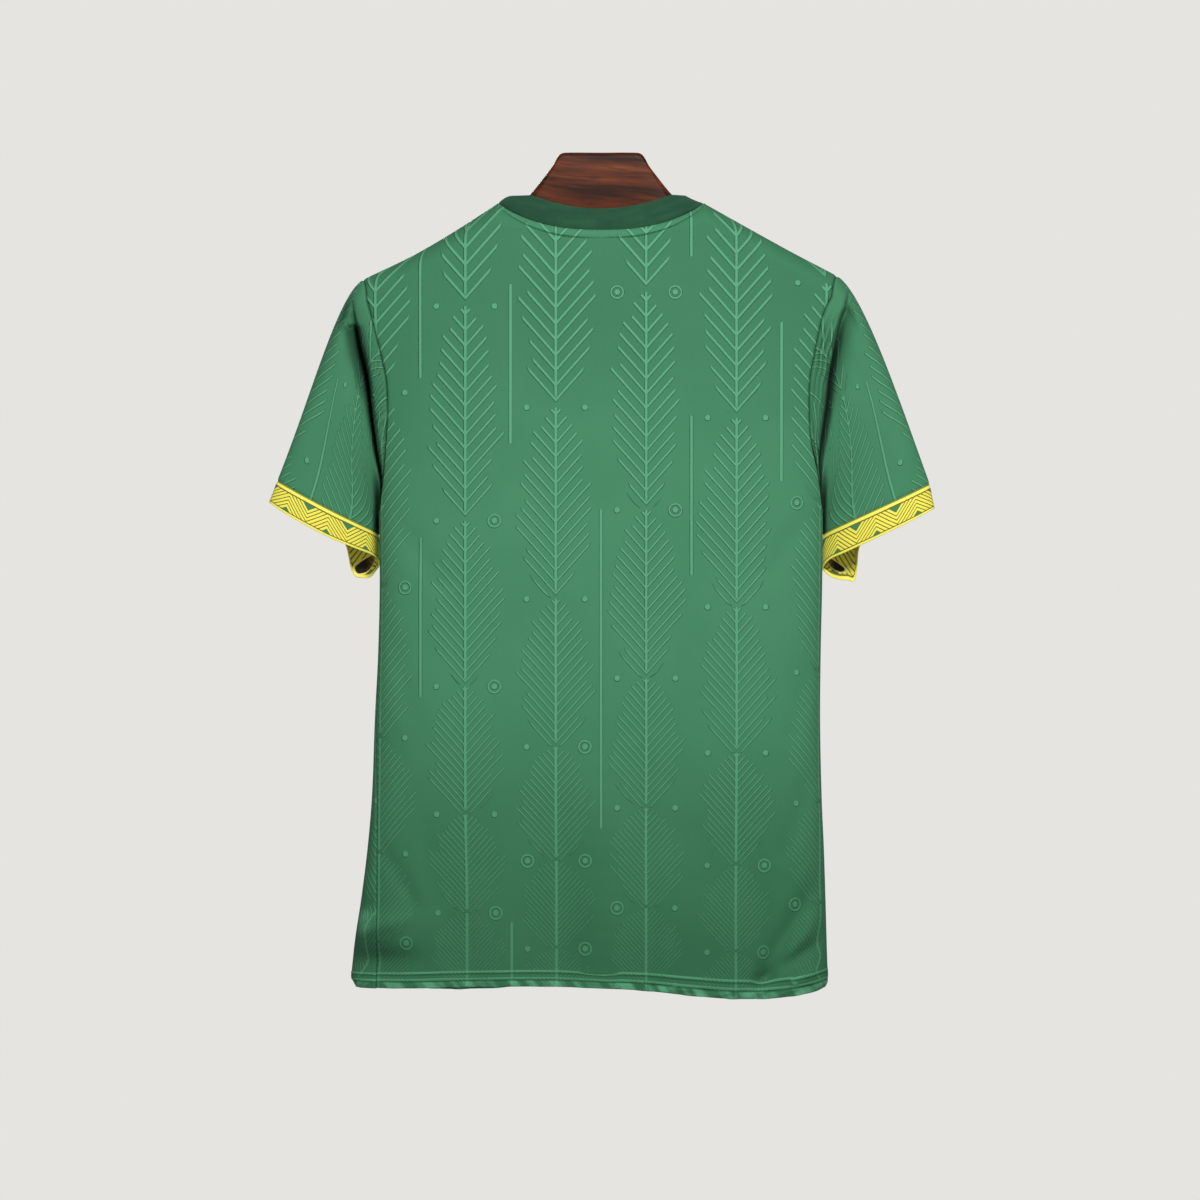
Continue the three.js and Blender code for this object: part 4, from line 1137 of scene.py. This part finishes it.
def hanger_ring(x):
    away = abs(x)
    if away < HANGER_ARM:
        top, half, low, arm = (float(read(away)) for read in curves(HANGER))
        rounding = lerp(5.0, RIDGE_ROUND - HANGER_INSET, arm)
        flat = lerp(half - 5.0, 0.5, arm)
    else:
        sine = np.sin(angle_at(away, float(torso_left(BASE_Z))))
        crest = float(ridge(x))
        top, low = crest - HANGER_INSET, crest - 44.0
        past = max(0.0, (away - (HANGER_END - 11)) / 11)
        shrink = math.sqrt(1 - (0.86 * past) ** 2)
        middle, reach = (top + low) / 2, (top - low) / 2 * shrink
        top, low = middle + reach, middle - reach
        half = (float(torso_back(BASE_Z)) * float(power(sine)) - HANGER_INSET) * shrink
        rounding, flat = (RIDGE_ROUND - HANGER_INSET) * shrink, 0.5 * shrink
    under = min(6.0, half * 0.45)
    ring = [(flat + (half - flat) * math.sin(angle), top - rounding * (1 - math.cos(angle)))
            for angle in np.radians(np.linspace(0, 90, 10))]
    ring += [(half - under * (1 - math.cos(angle)), low + under * (1 - math.sin(angle)))
             for angle in np.radians(np.linspace(0, 90, 6))]
    ring += [(-y, z) for y, z in reversed(ring)]
    return [(x, y, z) for y, z in ring]


def make_hanger(material):
    half = runs((0, 33, 8), (33, 45, 17), (45, 93, 25), (96, 202, 22), (202, HANGER_END, 9))
    grid = np.array([hanger_ring(float(x)) for x in np.concatenate([-half[::-1], half[1:]])])
    index = np.arange(grid.shape[0] * grid.shape[1]).reshape(grid.shape[:2])
    faces = quads(np.concatenate([index, index[:, :1]], 1)).tolist()
    faces += [index[0][::-1].tolist(), index[-1].tolist()]
    obj = add_piece("hanger_wood", grid, faces, material)
    build = bmesh.new()
    build.from_mesh(obj.data)
    bmesh.ops.recalc_face_normals(build, faces=build.faces)
    build.to_mesh(obj.data)
    build.free()
    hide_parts("hanger")


knit, cuff_knit, thread = jersey_material(), cuff_material(), thread_material()
back, back_stitches = make_panel(BACK, knit, thread)
front, front_stitches = make_panel(FRONT, knit, thread)
sleeves = {name: make_sleeve(name, knit) for name in SLEEVES}
cuffs = {name: make_cuff(name, cuff_knit) for name in SLEEVES}
collar = make_collar(collar_material())
make_hanger(wood_material())

# Picture: camera, light and floor.
CAMERA_AWAY = 12.0
CAMERA_ACROSS = 0.0009
CAMERA_HEIGHT = -0.4162
FRAME_WIDE = 1.1172  # what the frame takes in at the part
SENSOR = 36.0
SOFT_LIGHT = 0.33
FLOOR_HEIGHT = -1.5
FLOOR_REACH = 2.2


def softbox(name, place, aim, size_m, power_w):
    data = bpy.data.lights.new(name, "AREA")
    data.shape = "DISK"
    data.size = size_m
    data.energy = power_w
    data.spread = math.radians(100)
    obj = place_object(name, data)
    obj.location = place
    obj.rotation_euler = (Vector(aim) - Vector(place)).to_track_quat("-Z", "Y").to_euler()


camera_data = bpy.data.cameras.new("camera")
camera_data.sensor_width = SENSOR
camera_data.lens = SENSOR * CAMERA_AWAY / FRAME_WIDE
camera = place_object("camera", camera_data)
camera.location = (CAMERA_ACROSS, CAMERA_AWAY, CAMERA_HEIGHT)
camera.rotation_euler = (math.radians(90), 0, math.radians(180))
bpy.context.scene.camera = camera

# The camera sees the pale backdrop; everything else is lit by a softer, warmer sky.
world = bpy.data.worlds.new("studio")
world.use_nodes = True
nodes, link = world.node_tree.nodes, world.node_tree.links.new
seen, soft = nodes["Background"], nodes.new("ShaderNodeBackground")
seen.inputs["Color"].default_value = BACKDROP
soft.inputs["Color"].default_value = (1.0, 0.985, 0.96, 1)
soft.inputs["Strength"].default_value = SOFT_LIGHT
ray, share = nodes.new("ShaderNodeLightPath"), nodes.new("ShaderNodeMixShader")
link(ray.outputs["Is Camera Ray"], share.inputs["Fac"])
link(soft.outputs["Background"], share.inputs[1])
link(seen.outputs["Background"], share.inputs[2])
link(share.outputs["Shader"], nodes["World Output"].inputs["Surface"])
bpy.context.scene.world = world
bpy.context.scene.view_settings.view_transform = "Standard"

softbox("key_behind", (-0.24, 1.9, 0.75), (0, 0, -0.36), 0.55, 14.6)
softbox("key_front", (0.25, -1.85, -0.12), (0, 0, -0.4), 0.8, 10)

floor_mesh = bpy.data.meshes.new("floor")
build = bmesh.new()
bmesh.ops.create_circle(build, cap_ends=True, segments=96, radius=FLOOR_REACH)
build.to_mesh(floor_mesh)
build.free()
floor_mesh.materials.append(floor_material())
floor = place_object("floor", floor_mesh)
floor.location = (0, 0, FLOOR_HEIGHT)
